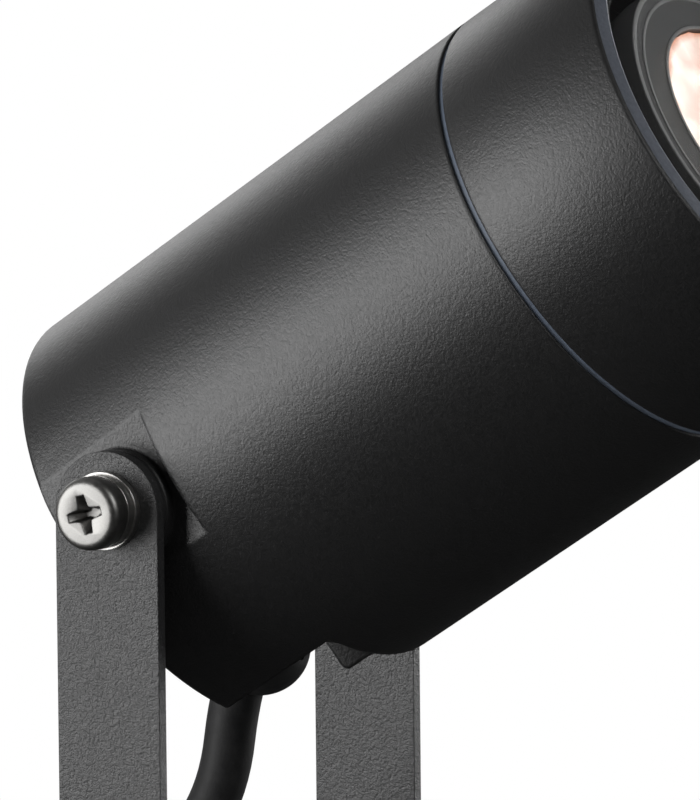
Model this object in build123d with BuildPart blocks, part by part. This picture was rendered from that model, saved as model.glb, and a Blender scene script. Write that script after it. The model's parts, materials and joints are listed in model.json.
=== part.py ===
"""Garden spike spotlight: a tilting round head on a strip bracket and a ground spike.

Millimetres, +Z up, the origin at the spike's tip.  The head aims along +X and up.
Head sizes called stations are measured along the head's own axis from its tilt pivot.
"""
import os
from math import cos, pi, radians, sin, sqrt, tan

from build123d import *

# --- aim of the head as photographed ----------------------------------------------------------
TILT = 33.2                  # head axis above the horizontal, degrees

# --- head casting -----------------------------------------------------------------------------
HEAD_RADIUS = 37.5           # at the seam
HEAD_DRAFT = 0.53            # narrowing towards the rear, degrees a side
REAR_STATION = -11.8
SEAM_STATION = 77.9
REAR_EDGE_ROUND = 1.2
COLLAR_STEP = 2.5            # head radius less the threaded collar's
COLLAR_LENGTH = 8.0
COLLAR_WALL = 3.0
PARTITION_THICKNESS = 4.0    # wall between the cable notch and the chamber
FLAT_DEPTH = 2.25            # depth of the two side flats at the seam's radius
FLAT_FRONT_STATION = 10.67   # front wall of the flats and of the cable notch
NOTCH_HALF_MOUTH = 19.5      # at the head's surface
NOTCH_HALF_CEILING = 15.0
NOTCH_CEILING = -4.0         # height against the head axis
NOTCH_OFFSET = 1.3           # notch middle from the head's middle, as photographed
NOTCH_CORNER_ROUND = 5.0
NOTCH_BEVEL = 1.0            # along the notch's rear edges
POCKET_TO_PILLAR = 0.5       # side of the wiring pocket to the holder's pillars
POCKET_TOP = 26.0
POCKET_REAR_STATION = -8.3
BOSS_RADIUS = 9.0
BOSS_HEIGHT = 2.0

# --- front ring, glass and seals --------------------------------------------------------------
SEAL_THICKNESS = 0.9
SEAL_STEP = 0.4              # head radius less the seal's
BEZEL_LENGTH = 30.4
BEZEL_LIP_THICKNESS = 0.9
BEZEL_LIP_WIDTH = 4.0
BEZEL_EDGE_ROUND = 0.5
THREAD_CLEARANCE = 0.06
GLASS_CLEARANCE = 0.2
GLASS_THICKNESS = 4.0
GASKET_THICKNESS = 1.5
GASKET_WIDTH = 3.86
RETAINER_THICKNESS = 3.0
RETAINER_WIDTH = 6.0
RETAINER_SLOT_WIDTH = 5.0
RETAINER_SLOT_DEPTH = 1.5

# --- reflector lamp and its holder ------------------------------------------------------------
LAMP_RADIUS = 25.2
LAMP_BODY_LENGTH = 46.0
LAMP_RIM_LENGTH = 4.0
LAMP_LENS_RADIUS = 17.2
LAMP_LENS_THICKNESS = 1.6
LAMP_BASE_RADIUS = 13.0
LAMP_BASE_LENGTH = 14.0
LAMP_TO_GLASS = 0.4
LAMP_WALL = 1.6
LAMP_CAPSULE_RADIUS = 5.0
PIN_RADIUS = 2.5             # head of a lamp pin
PIN_NECK_RADIUS = 1.5
PIN_HEAD_LENGTH = 3.0
PIN_LENGTH = 7.5
PIN_SPACING = 10.0
PIN_CLEARANCE = 0.3
LAMP_TWIST = 20.0            # degrees from locked to free
HOLDER_RADIUS = 13.0
HOLDER_LENGTH = 14.0
HOLDER_GAP = 0.3
HOLDER_PLATE_CLEARANCE = 3.0  # plate's ends to the chamber's wall
HOLDER_PLATE_WIDTH = 16.0
HOLDER_PLATE_THICKNESS = 1.2
HOLDER_RIVET_OFFSET = 8.5
PILLAR_INSET = 7.5           # pillar's middle from the chamber's wall
PILLAR_RADIUS = 4.0
SMALL_SCREW_RADIUS = 1.5
SMALL_SCREW_HEAD_RADIUS = 2.8
SMALL_SCREW_HEAD_HEIGHT = 1.8
SMALL_SCREW_LENGTH = 8.0

# --- cable gland and inner wiring -------------------------------------------------------------
CABLE_RADIUS = 4.0
GLAND_SLANT = 38.0           # degrees from the head axis, as the slanted entry wall stands
GLAND_TIP_STATION = -17.6    # the nut's open end
GLAND_TIP_INSET = 11.6       # from the head's side at the seam's radius
GLAND_NUT_LENGTH = 12.5
GLAND_NUT_RADIUS = 9.4
GLAND_DOME_LENGTH = 7.5
GLAND_TIP_RADIUS = 5.4
GLAND_NUT_GAP = 0.5
GLAND_HEX_FLAT = 9.5         # half the size across flats
GLAND_CORNER_RADIUS = 10.4
GLAND_BODY_HEX_LENGTH = 5.0
GLAND_THREAD_RADIUS = 8.0
GLAND_NECK_RADIUS = 7.6
GLAND_THREAD_FIT = 0.05
GLAND_HOLE_CLEARANCE = 0.3
GLAND_FLARE_DEPTH = 2.5
GLAND_FLARE_RADIUS = 4.9
GLAND_END_THICKNESS = 4.0
GLAND_SEAL_RADIUS = 6.2
GLAND_SEAL_LENGTH = 8.0
GLAND_RIB_COUNT = 12
GLAND_RIB_DEPTH = 0.5
LOCKNUT_FLAT = 9.5
LOCKNUT_THICKNESS = 3.5
TAIL_LENGTH_INSIDE = 12.0    # beyond the inner face of the entry wall
TERMINAL_SIZE = (16.0, 30.0, 17.0)
TERMINAL_OVER_GLAND = 28.9   # the block's underside over the nut's open end
TERMINAL_BORE_RADIUS = 1.6
TERMINAL_SCREW_RADIUS = 1.7
TERMINAL_ROW_OFFSET = 4.0    # supply row under, holder row over the middle
TERMINAL_SCREW_LENGTH = 3.5
LEAD_RADIUS = 1.2
LEAD_INSERTION = 4.0
LEAD_BEND_RADIUS = 3.5
HOLDER_LEAD_RADIUS = 0.9
EARTH_SCREW_INSET = 4.7      # from the chamber's wall
EARTH_SCREW_ANGLE = -28.4    # degrees under the level through the head's axis
EARTH_LUG_THICKNESS = 0.8

# --- strip bracket ----------------------------------------------------------------------------
STRIP_WIDTH = 18.0
STRIP_THICKNESS = 2.0
FRICTION_WASHER_THICKNESS = 1.0
PIVOT_HEIGHT = 75.0          # pivot above the bracket's inner base face
BEND_RADIUS = 3.0            # inside of the two bends
FRICTION_WASHER_RADIUS = 8.8

# --- pivot and base fasteners -----------------------------------------------------------------
PIVOT_SCREW_RADIUS = 3.0
PIVOT_SCREW_HEAD_RADIUS = 5.6
PIVOT_SCREW_HEAD_HEIGHT = 3.6
PIVOT_SCREW_HEAD_ROUND = 1.1
PIVOT_SCREW_LENGTH = 16.0
RECESS_WIDTH = 6.0           # cross recess, tip to tip
RECESS_SLOT = 1.25
RECESS_DEPTH = 2.2
RECESS_TURN = 15.0           # degrees, as the near screw stands
PIVOT_FIT = 0.08             # screw shank in the arm's hole, radial
SPRING_WASHER_RADIUS = 5.7
SPRING_WASHER_THICKNESS = 1.6
SPRING_WASHER_SPLIT = 0.8
SPRING_WASHER_SLANT = 20.0   # degrees of the split from radial
FLAT_WASHER_RADIUS = 6.0
FLAT_WASHER_THICKNESS = 1.2
WASHER_BORE_CLEARANCE = 0.2
BASE_BOLT_RADIUS = 4.0
BASE_BOLT_HEX_FLAT = 6.5
BASE_BOLT_HEAD_HEIGHT = 5.3
BASE_BOLT_LENGTH = 22.0
BASE_WASHER_RADIUS = 8.0
BASE_WASHER_THICKNESS = 1.6
BASE_SPRING_WASHER_RADIUS = 7.2
BASE_SPRING_WASHER_THICKNESS = 2.0

# --- ground spike -----------------------------------------------------------------------------
BLADE_LENGTH = 160.0         # tip to flange underside
BLADE_HALF_WIDTH = 15.0
BLADE_SHOULDER = 46.0        # length of the pointed end
BLADE_THICKNESS = 4.0
BLADE_TIP_HALF_WIDTH = 1.2
BLADE_TAPER = 2.5            # narrowing of a blade down to the shoulder
WEB_COUNT = 3
WEB_THICKNESS = 2.5
WEB_SHARE = 0.62             # web radius as a share of the blade's half width there
FLANGE_RADIUS = 22.0
FLANGE_THICKNESS = 4.0
FLANGE_RIM_HEIGHT = 1.5
FLANGE_RIM_WIDTH = 2.0
NECK_RADIUS = 12.0
NECK_FOOT_RADIUS = 14.0
NECK_HEIGHT = 10.0
INSERT_RADIUS = 6.0
INSERT_LENGTH = 14.0

# --- cable outside the head, its put-away coil and plug ---------------------------------------
COIL_START = (-105.0, 9.0)   # where the outermost turn begins, heading -X
COIL_OUTER_RADIUS = 42.0     # of the outermost turn's centreline
COIL_TURN_PITCH = 8.9
COIL_LAYER_PITCH = 8.7
COIL_TURNS = 5.5
COIL_POINTS_PER_TURN = 4
PLUG_END = (44.0, 92.0)      # where the cable enters the plug's sleeve
PLUG_BODY_RADIUS = 19.0
PLUG_DISC_LENGTH = 17.0
PLUG_GRIP_LENGTH = 24.0
PLUG_GRIP_RADIUS = 9.5
PLUG_PIN_RADIUS = 2.4
PLUG_PIN_LENGTH = 19.0
PLUG_PIN_SPACING = 19.0
PLUG_SLEEVE_LENGTH = 22.0
PLUG_SLEEVE_RADIUS = 6.6
PLUG_GROOVE_WIDTH = 1.6
PLUG_GROOVE_RADIUS = 4.6
PLUG_GROOVE_COUNT = 4
PLUG_CLIP_WIDTH = 6.0
PLUG_CLIP_THICKNESS = 1.2
PLUG_EARTH_HOLE_RADIUS = 2.6

# --- places that follow from the sizes --------------------------------------------------------
BRACKET_UNDERSIDE = BLADE_LENGTH + FLANGE_THICKNESS + NECK_HEIGHT
BRACKET_FLOOR = BRACKET_UNDERSIDE + STRIP_THICKNESS
PIVOT_Z = BRACKET_FLOOR + PIVOT_HEIGHT
PIVOT = Vector(0, 0, PIVOT_Z)
AIM = Vector(cos(radians(TILT)), 0, sin(radians(TILT)))
LENGTHWISE = Plane(origin=PIVOT, x_dir=AIM, z_dir=(0, -1, 0))
HEAD_UP = LENGTHWISE.y_dir
HEAD_AXIS = Axis(PIVOT, AIM)
TILT_AXIS_OUT = {"near": Vector(0, -1, 0), "far": Vector(0, 1, 0)}
DRAFT_RATE = tan(radians(HEAD_DRAFT))
REAR_RADIUS = HEAD_RADIUS - DRAFT_RATE * (SEAM_STATION - REAR_STATION)
FLAT_HALF_WIDTH = HEAD_RADIUS - FLAT_DEPTH
COLLAR_RADIUS = HEAD_RADIUS - COLLAR_STEP
CHAMBER_RADIUS = COLLAR_RADIUS - COLLAR_WALL
CHAMBER_REAR_STATION = FLAT_FRONT_STATION + PARTITION_THICKNESS
HOLDER_PLATE_LENGTH = 2 * (CHAMBER_RADIUS - HOLDER_PLATE_CLEARANCE)
PILLAR_OFFSET = CHAMBER_RADIUS - PILLAR_INSET
POCKET_HALF_WIDTH = PILLAR_OFFSET - PILLAR_RADIUS - POCKET_TO_PILLAR
EARTH_SCREW_OFFSET = (CHAMBER_RADIUS - EARTH_SCREW_INSET) * cos(radians(EARTH_SCREW_ANGLE))
EARTH_SCREW_HEIGHT = (CHAMBER_RADIUS - EARTH_SCREW_INSET) * sin(radians(EARTH_SCREW_ANGLE))
GLAND_TIP_HEIGHT = GLAND_TIP_INSET - HEAD_RADIUS
TERMINAL_BOTTOM = GLAND_TIP_HEIGHT + TERMINAL_OVER_GLAND
COLLAR_END_STATION = SEAM_STATION + COLLAR_LENGTH
BEZEL_REAR_STATION = SEAM_STATION + SEAL_THICKNESS
BEZEL_FRONT_STATION = BEZEL_REAR_STATION + BEZEL_LENGTH
BEZEL_BORE_RADIUS = COLLAR_RADIUS + THREAD_CLEARANCE
GLASS_FRONT_STATION = BEZEL_FRONT_STATION - BEZEL_LIP_THICKNESS
GLASS_REAR_STATION = GLASS_FRONT_STATION - GLASS_THICKNESS
GLASS_RADIUS = BEZEL_BORE_RADIUS - GLASS_CLEARANCE
GASKET_REAR_STATION = GLASS_REAR_STATION - GASKET_THICKNESS
RETAINER_REAR_STATION = GASKET_REAR_STATION - RETAINER_THICKNESS
LAMP_FRONT_STATION = GLASS_REAR_STATION - LAMP_TO_GLASS
LAMP_BASE_STATION = LAMP_FRONT_STATION - LAMP_BODY_LENGTH
HOLDER_FRONT_STATION = LAMP_BASE_STATION - HOLDER_GAP
HOLDER_REAR_STATION = HOLDER_FRONT_STATION - HOLDER_LENGTH
PLATE_REAR_STATION = HOLDER_REAR_STATION - HOLDER_PLATE_THICKNESS
GLAND_HEX_START = GLAND_NUT_LENGTH + GLAND_NUT_GAP
ENTRY_WALL_START = GLAND_HEX_START + GLAND_BODY_HEX_LENGTH
ENTRY_WALL_END = ENTRY_WALL_START + PARTITION_THICKNESS
TAIL_END = ENTRY_WALL_END + TAIL_LENGTH_INSIDE
ARM_INNER_HALF_WIDTH = FLAT_HALF_WIDTH + BOSS_HEIGHT + FRICTION_WASHER_THICKNESS
ARM_OUTER_HALF_WIDTH = ARM_INNER_HALF_WIDTH + STRIP_THICKNESS
HALF_STRIP = STRIP_WIDTH / 2
WASHER_STACK = FLAT_WASHER_THICKNESS + SPRING_WASHER_THICKNESS
FLANGE_TOP = BLADE_LENGTH + FLANGE_THICKNESS


def head_point(station, side=0.0, height=0.0):
    """Return the point at a station of the head, sideways (+Y) and upright to its axis."""
    return PIVOT + AIM * station + Vector(0, side, 0) + HEAD_UP * height


def gland_height(station, distance):
    """Return the head height of the plane square to the gland's axis at a distance from its tip."""
    slant = radians(GLAND_SLANT)
    return GLAND_TIP_HEIGHT + (distance - (station - GLAND_TIP_STATION) * cos(slant)) / sin(slant)


def gland_point(distance, side=0.0, height=0.0):
    """Return the point at a distance from the gland's tip along its axis, into the head."""
    slant = radians(GLAND_SLANT)
    return head_point(GLAND_TIP_STATION + distance * cos(slant) - height * sin(slant), side,
                      GLAND_TIP_HEIGHT + distance * sin(slant) + height * cos(slant))


def gland_plane(distance):
    """Return the plane square to the gland's axis at a distance from its tip."""
    return Plane(origin=gland_point(distance), x_dir=(0, 1, 0), z_dir=gland_point(1) - gland_point(0))


def across(station):
    """Return the plane square to the head's axis: local x is +Y, local y is the head's up."""
    return Plane(origin=PIVOT + AIM * station, x_dir=(0, 1, 0), z_dir=AIM)


def pivot_plane(side, distance):
    """Return the plane at a distance out from the middle, square to the tilt axis."""
    out = TILT_AXIS_OUT[side]
    return Plane(origin=PIVOT + out * distance, x_dir=AIM, z_dir=out)


def round_slice(plane, length, radius, bore=0.0, mode=Mode.ADD):
    """Extrude a disc or ring from a plane into the part being built."""
    with BuildSketch(plane) as outline:
        Circle(radius)
        if bore:
            Circle(bore, mode=Mode.SUBTRACT)
    extrude(outline.sketch, amount=length, mode=mode)


def hex_slice(plane, length, half_flat):
    """Extrude a hexagon given by half its size across flats."""
    with BuildSketch(plane) as outline:
        RegularPolygon(radius=half_flat, side_count=6, major_radius=False)
    extrude(outline.sketch, amount=length)


def lengthwise_revolve(points, mode=Mode.ADD):
    """Revolve a closed outline of (station, radius) points about the head's axis."""
    with BuildSketch(LENGTHWISE) as outline:
        with BuildLine():
            Polyline(*points, close=True)
        make_face()
    revolve(outline.sketch, axis=HEAD_AXIS, mode=mode)


def save(builder, label):
    """Label a finished piece and write it as a STEP file."""
    builder.part.label = label
    export_step(builder.part, f"parts/{label}.step")


os.makedirs("parts", exist_ok=True)

# --- head casting: tapered shell, side flats, cable notch, chamber and collar -----------------
with BuildPart() as head_housing:
    lengthwise_revolve([(REAR_STATION, 0), (REAR_STATION, REAR_RADIUS), (SEAM_STATION, HEAD_RADIUS),
                        (SEAM_STATION, 0)])
    fillet(head_housing.edges().filter_by(GeomType.CIRCLE).sort_by(HEAD_AXIS)[0], REAR_EDGE_ROUND)
    round_slice(across(SEAM_STATION), COLLAR_LENGTH, COLLAR_RADIUS)
    for side in TILT_AXIS_OUT:
        with BuildSketch(pivot_plane(side, FLAT_HALF_WIDTH)):
            with Locations((FLAT_FRONT_STATION, 0)):
                Rectangle(4 * BOSS_RADIUS, 2 * HEAD_RADIUS, align=(Align.MAX, Align.CENTER))
        extrude(amount=FLAT_DEPTH + 1, mode=Mode.SUBTRACT)
    with BuildPart(mode=Mode.SUBTRACT):
        mouth_height = -sqrt(REAR_RADIUS ** 2 - NOTCH_HALF_MOUTH ** 2)
        flare = (NOTCH_HALF_MOUTH - NOTCH_HALF_CEILING) / (NOTCH_CEILING - mouth_height)
        half_under = NOTCH_HALF_CEILING + flare * (NOTCH_CEILING + HEAD_RADIUS)
        with BuildSketch(across(FLAT_FRONT_STATION)) as notch_outline:
            with BuildLine():
                Polyline((NOTCH_OFFSET - half_under, -HEAD_RADIUS),
                         (NOTCH_OFFSET - NOTCH_HALF_CEILING, NOTCH_CEILING),
                         (NOTCH_OFFSET + NOTCH_HALF_CEILING, NOTCH_CEILING),
                         (NOTCH_OFFSET + half_under, -HEAD_RADIUS), close=True)
            make_face()
            fillet(notch_outline.vertices().group_by(Axis.Y)[-1], NOTCH_CORNER_ROUND)
        extrude(amount=REAR_STATION - FLAT_FRONT_STATION - 1)
        with BuildSketch(LENGTHWISE):
            with BuildLine():
                over_rear, over_front = REAR_STATION - 2, FLAT_FRONT_STATION + 1
                Polyline((over_rear, gland_height(over_rear, ENTRY_WALL_START)), (over_rear, HEAD_RADIUS),
                         (over_front, HEAD_RADIUS), (over_front, gland_height(over_front, ENTRY_WALL_START)),
                         close=True)
            make_face()
        extrude(amount=HEAD_RADIUS, both=True, mode=Mode.SUBTRACT)
    with BuildSketch(across(REAR_STATION)):
        add(notch_outline.sketch_local)
        offset(amount=NOTCH_BEVEL)
    extrude(amount=NOTCH_BEVEL, taper=45, mode=Mode.SUBTRACT)
    for side in TILT_AXIS_OUT:
        round_slice(pivot_plane(side, FLAT_HALF_WIDTH - 1), BOSS_HEIGHT + 1, BOSS_RADIUS)
    round_slice(across(CHAMBER_REAR_STATION), COLLAR_END_STATION - CHAMBER_REAR_STATION, CHAMBER_RADIUS,
                mode=Mode.SUBTRACT)
    with BuildPart(mode=Mode.SUBTRACT):
        with BuildSketch(LENGTHWISE):
            with BuildLine():
                Polyline((POCKET_REAR_STATION, POCKET_TOP),
                         (POCKET_REAR_STATION, gland_height(POCKET_REAR_STATION, ENTRY_WALL_END)),
                         (CHAMBER_REAR_STATION, gland_height(CHAMBER_REAR_STATION, ENTRY_WALL_END)),
                         (CHAMBER_REAR_STATION, POCKET_TOP), close=True)
            make_face()
        extrude(amount=POCKET_HALF_WIDTH, both=True)
        round_slice(across(POCKET_REAR_STATION), CHAMBER_REAR_STATION - POCKET_REAR_STATION, CHAMBER_RADIUS,
                    mode=Mode.INTERSECT)
    with BuildSketch(across(CHAMBER_REAR_STATION)):
        with Locations((-PILLAR_OFFSET, 0), (PILLAR_OFFSET, 0)):
            Circle(PILLAR_RADIUS)
    extrude(amount=PLATE_REAR_STATION - CHAMBER_REAR_STATION)
    with BuildSketch(across(PLATE_REAR_STATION)):
        with Locations((-PILLAR_OFFSET, 0), (PILLAR_OFFSET, 0)):
            Circle(SMALL_SCREW_RADIUS)
    extrude(amount=-SMALL_SCREW_LENGTH, mode=Mode.SUBTRACT)
    round_slice(gland_plane(ENTRY_WALL_START), PARTITION_THICKNESS, GLAND_THREAD_RADIUS + GLAND_THREAD_FIT,
                mode=Mode.SUBTRACT)
    with BuildSketch(across(CHAMBER_REAR_STATION)):
        with Locations((EARTH_SCREW_OFFSET, EARTH_SCREW_HEIGHT)):
            Circle(SMALL_SCREW_RADIUS)
    extrude(amount=-PARTITION_THICKNESS - EARTH_LUG_THICKNESS, mode=Mode.SUBTRACT)
    for side in TILT_AXIS_OUT:
        boss_face = FLAT_HALF_WIDTH + BOSS_HEIGHT
        shank_in_head = PIVOT_SCREW_LENGTH - STRIP_THICKNESS - WASHER_STACK - FRICTION_WASHER_THICKNESS
        round_slice(pivot_plane(side, boss_face), -shank_in_head - 1, PIVOT_SCREW_RADIUS, mode=Mode.SUBTRACT)
save(head_housing, "head_housing")

# --- front ring, its seal, the glass and what holds the glass ---------------------------------
with BuildPart() as front_bezel:
    round_slice(across(BEZEL_REAR_STATION), BEZEL_LENGTH, HEAD_RADIUS, BEZEL_BORE_RADIUS)
    round_slice(across(GLASS_FRONT_STATION), BEZEL_LIP_THICKNESS, BEZEL_BORE_RADIUS,
                HEAD_RADIUS - BEZEL_LIP_WIDTH)
    front_rims = front_bezel.edges().filter_by(GeomType.CIRCLE).sort_by(HEAD_AXIS)[-2:]
    fillet(front_rims.sort_by(SortBy.RADIUS)[-1], BEZEL_EDGE_ROUND)
save(front_bezel, "front_bezel")

with BuildPart() as bezel_seal:
    round_slice(across(SEAM_STATION), SEAL_THICKNESS, HEAD_RADIUS - SEAL_STEP, BEZEL_BORE_RADIUS)
save(bezel_seal, "bezel_seal")

with BuildPart() as front_glass:
    round_slice(across(GLASS_REAR_STATION), GLASS_THICKNESS, GLASS_RADIUS)
save(front_glass, "front_glass")

with BuildPart() as glass_gasket:
    round_slice(across(GASKET_REAR_STATION), GASKET_THICKNESS, GLASS_RADIUS, GLASS_RADIUS - GASKET_WIDTH)
save(glass_gasket, "glass_gasket")

with BuildPart() as glass_retainer:
    round_slice(across(RETAINER_REAR_STATION), RETAINER_THICKNESS, BEZEL_BORE_RADIUS - 0.02,
                BEZEL_BORE_RADIUS - RETAINER_WIDTH)
    with BuildSketch(across(RETAINER_REAR_STATION)):
        Rectangle(2 * HEAD_RADIUS, RETAINER_SLOT_WIDTH)
    extrude(amount=RETAINER_SLOT_DEPTH, mode=Mode.SUBTRACT)
save(glass_retainer, "glass_retainer")

# --- reflector lamp: bowl with its base, patterned lens and two pins --------------------------
LAMP_SEAT_STATION = LAMP_FRONT_STATION - LAMP_LENS_THICKNESS
LAMP_NECK_STATION = LAMP_BASE_STATION + LAMP_BASE_LENGTH
LAMP_BOWL_STATION = LAMP_FRONT_STATION - LAMP_RIM_LENGTH
with BuildPart() as lamp_body:
    with BuildSketch(LENGTHWISE):
        with BuildLine():
            Polyline((LAMP_NECK_STATION + LAMP_WALL, 0), (LAMP_BASE_STATION, 0),
                     (LAMP_BASE_STATION, LAMP_BASE_RADIUS), (LAMP_NECK_STATION, LAMP_BASE_RADIUS))
            ThreePointArc((LAMP_NECK_STATION, LAMP_BASE_RADIUS),
                          ((LAMP_NECK_STATION + LAMP_BOWL_STATION) / 2, 0.85 * LAMP_RADIUS),
                          (LAMP_BOWL_STATION, LAMP_RADIUS))
            Polyline((LAMP_BOWL_STATION, LAMP_RADIUS), (LAMP_FRONT_STATION, LAMP_RADIUS),
                     (LAMP_FRONT_STATION, LAMP_LENS_RADIUS), (LAMP_SEAT_STATION, LAMP_LENS_RADIUS))
            ThreePointArc((LAMP_SEAT_STATION, LAMP_LENS_RADIUS),
                          ((LAMP_NECK_STATION + LAMP_SEAT_STATION) / 2, 0.8 * LAMP_LENS_RADIUS),
                          (LAMP_NECK_STATION + LAMP_WALL, LAMP_CAPSULE_RADIUS))
            Line((LAMP_NECK_STATION + LAMP_WALL, LAMP_CAPSULE_RADIUS), (LAMP_NECK_STATION + LAMP_WALL, 0))
        make_face()
    revolve(axis=HEAD_AXIS)
save(lamp_body, "lamp_body")

with BuildPart() as lamp_lens:
    round_slice(across(LAMP_SEAT_STATION), LAMP_LENS_THICKNESS, LAMP_LENS_RADIUS)
save(lamp_lens, "lamp_lens")

with BuildPart() as lamp_pins:
    with BuildSketch(across(LAMP_BASE_STATION)):
        with Locations((-PIN_SPACING / 2, 0), (PIN_SPACING / 2, 0)):
            Circle(PIN_NECK_RADIUS)
    extrude(amount=-PIN_LENGTH)
    with BuildSketch(across(LAMP_BASE_STATION - PIN_LENGTH)):
        with Locations((-PIN_SPACING / 2, 0), (PIN_SPACING / 2, 0)):
            Circle(PIN_RADIUS)
    extrude(amount=PIN_HEAD_LENGTH)
save(lamp_pins, "lamp_pins")

# --- lamp holder on its plate across two cast pillars -----------------------------------------
PLATE_FRONT_STATION = HOLDER_REAR_STATION
with BuildPart() as lamp_holder:
    round_slice(across(HOLDER_REAR_STATION), HOLDER_LENGTH, HOLDER_RADIUS)
    half_twist = radians(LAMP_TWIST / 2)
    with BuildSketch(across(HOLDER_FRONT_STATION)):
        with PolarLocations(PIN_SPACING / 2 * cos(half_twist), 2, start_angle=LAMP_TWIST / 2):
            SlotCenterToCenter(PIN_SPACING * sin(half_twist), 2 * (PIN_RADIUS + PIN_CLEARANCE), rotation=90)
    extrude(amount=-PIN_LENGTH - PIN_CLEARANCE, mode=Mode.SUBTRACT)
    with BuildSketch(across(HOLDER_REAR_STATION)):
        with Locations((0, -HOLDER_RIVET_OFFSET), (0, HOLDER_RIVET_OFFSET)):
            Circle(SMALL_SCREW_RADIUS)
    extrude(amount=HOLDER_LENGTH / 3, mode=Mode.SUBTRACT)
save(lamp_holder, "lamp_holder")

with BuildPart() as holder_plate:
    with BuildSketch(across(PLATE_REAR_STATION)):
        RectangleRounded(HOLDER_PLATE_LENGTH, HOLDER_PLATE_WIDTH, 3)
        Rectangle(2 * HOLDER_RADIUS, 2 * HOLDER_RADIUS)
        Circle(HOLDER_RADIUS / 3, mode=Mode.SUBTRACT)
        with Locations((-PILLAR_OFFSET, 0), (PILLAR_OFFSET, 0),
                       (0, -HOLDER_RIVET_OFFSET), (0, HOLDER_RIVET_OFFSET)):
            Circle(SMALL_SCREW_RADIUS, mode=Mode.SUBTRACT)
    extrude(amount=HOLDER_PLATE_THICKNESS)
save(holder_plate, "holder_plate")

with BuildPart() as holder_screws:
    with BuildSketch(across(PLATE_FRONT_STATION)):
        with Locations((-PILLAR_OFFSET, 0), (PILLAR_OFFSET, 0)):
            Circle(SMALL_SCREW_HEAD_RADIUS)
    extrude(amount=SMALL_SCREW_HEAD_HEIGHT)
    with BuildSketch(across(PLATE_FRONT_STATION)):
        with Locations((-PILLAR_OFFSET, 0), (PILLAR_OFFSET, 0)):
            Circle(SMALL_SCREW_RADIUS)
    extrude(amount=-SMALL_SCREW_LENGTH)
save(holder_screws, "holder_screws")

with BuildPart() as holder_rivets:
    with BuildSketch(across(PLATE_REAR_STATION)):
        with Locations((0, -HOLDER_RIVET_OFFSET), (0, HOLDER_RIVET_OFFSET)):
            Circle(SMALL_SCREW_RADIUS)
    extrude(amount=HOLDER_PLATE_THICKNESS + HOLDER_LENGTH / 3)
    with BuildSketch(across(PLATE_REAR_STATION)):
        with Locations((0, -HOLDER_RIVET_OFFSET), (0, HOLDER_RIVET_OFFSET)):
            Circle(SMALL_SCREW_HEAD_RADIUS)
    extrude(amount=-1)
save(holder_rivets, "holder_rivets")

# --- cable gland on the notch's slanted entry wall --------------------------------------------
CABLE_BORE_RADIUS = CABLE_RADIUS + GLAND_HOLE_CLEARANCE
GLAND_AXIS = Axis(gland_point(0), gland_point(1) - gland_point(0))
GLAND_SECTION = Plane(origin=gland_point(0), x_dir=GLAND_AXIS.direction, z_dir=(0, -1, 0))
with BuildPart() as gland_nut:
    with BuildSketch(GLAND_SECTION):
        with BuildLine():
            on_dome = (GLAND_DOME_LENGTH * (1 - cos(pi / 3)),
                       GLAND_TIP_RADIUS + (GLAND_NUT_RADIUS - GLAND_TIP_RADIUS) * sin(pi / 3))
            Polyline((GLAND_DOME_LENGTH, GLAND_NUT_RADIUS), (GLAND_NUT_LENGTH, GLAND_NUT_RADIUS),
                     (GLAND_NUT_LENGTH, GLAND_NECK_RADIUS + GLAND_THREAD_FIT),
                     (GLAND_END_THICKNESS, GLAND_NECK_RADIUS + GLAND_THREAD_FIT),
                     (GLAND_END_THICKNESS, CABLE_BORE_RADIUS), (GLAND_FLARE_DEPTH, CABLE_BORE_RADIUS),
                     (0, GLAND_FLARE_RADIUS), (0, GLAND_TIP_RADIUS))
            ThreePointArc((0, GLAND_TIP_RADIUS), on_dome, (GLAND_DOME_LENGTH, GLAND_NUT_RADIUS))
        make_face()
    revolve(axis=GLAND_AXIS)
    with BuildSketch(gland_plane(GLAND_DOME_LENGTH)):
        with PolarLocations(GLAND_NUT_RADIUS, GLAND_RIB_COUNT):
            Circle(GLAND_RIB_DEPTH)
    extrude(amount=GLAND_NUT_LENGTH - GLAND_DOME_LENGTH, mode=Mode.SUBTRACT)
save(gland_nut, "gland_nut")

with BuildPart() as gland_body:
    hex_slice(gland_plane(GLAND_HEX_START), GLAND_BODY_HEX_LENGTH, GLAND_HEX_FLAT)
    with BuildSketch(gland_plane(GLAND_HEX_START)):
        Circle(GLAND_CORNER_RADIUS)
    extrude(amount=GLAND_BODY_HEX_LENGTH, mode=Mode.INTERSECT)
    neck_start = GLAND_END_THICKNESS + GLAND_HOLE_CLEARANCE
    thread_end = ENTRY_WALL_END + LOCKNUT_THICKNESS + 1
    round_slice(gland_plane(neck_start), GLAND_HEX_START - neck_start, GLAND_NECK_RADIUS)
    round_slice(gland_plane(ENTRY_WALL_START), thread_end - ENTRY_WALL_START, GLAND_THREAD_RADIUS)
    round_slice(gland_plane(neck_start), thread_end - neck_start, CABLE_BORE_RADIUS, mode=Mode.SUBTRACT)
    round_slice(gland_plane(neck_start), GLAND_END_THICKNESS + GLAND_SEAL_LENGTH - neck_start,
                GLAND_SEAL_RADIUS, mode=Mode.SUBTRACT)
save(gland_body, "gland_body")

with BuildPart() as gland_seal:
    round_slice(gland_plane(GLAND_END_THICKNESS), GLAND_SEAL_LENGTH, GLAND_SEAL_RADIUS, CABLE_RADIUS)
save(gland_seal, "gland_seal")

with BuildPart() as gland_locknut:
    hex_slice(gland_plane(ENTRY_WALL_END), LOCKNUT_THICKNESS, LOCKNUT_FLAT)
    round_slice(gland_plane(ENTRY_WALL_END), LOCKNUT_THICKNESS, GLAND_THREAD_RADIUS, mode=Mode.SUBTRACT)
save(gland_locknut, "gland_locknut")

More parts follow.
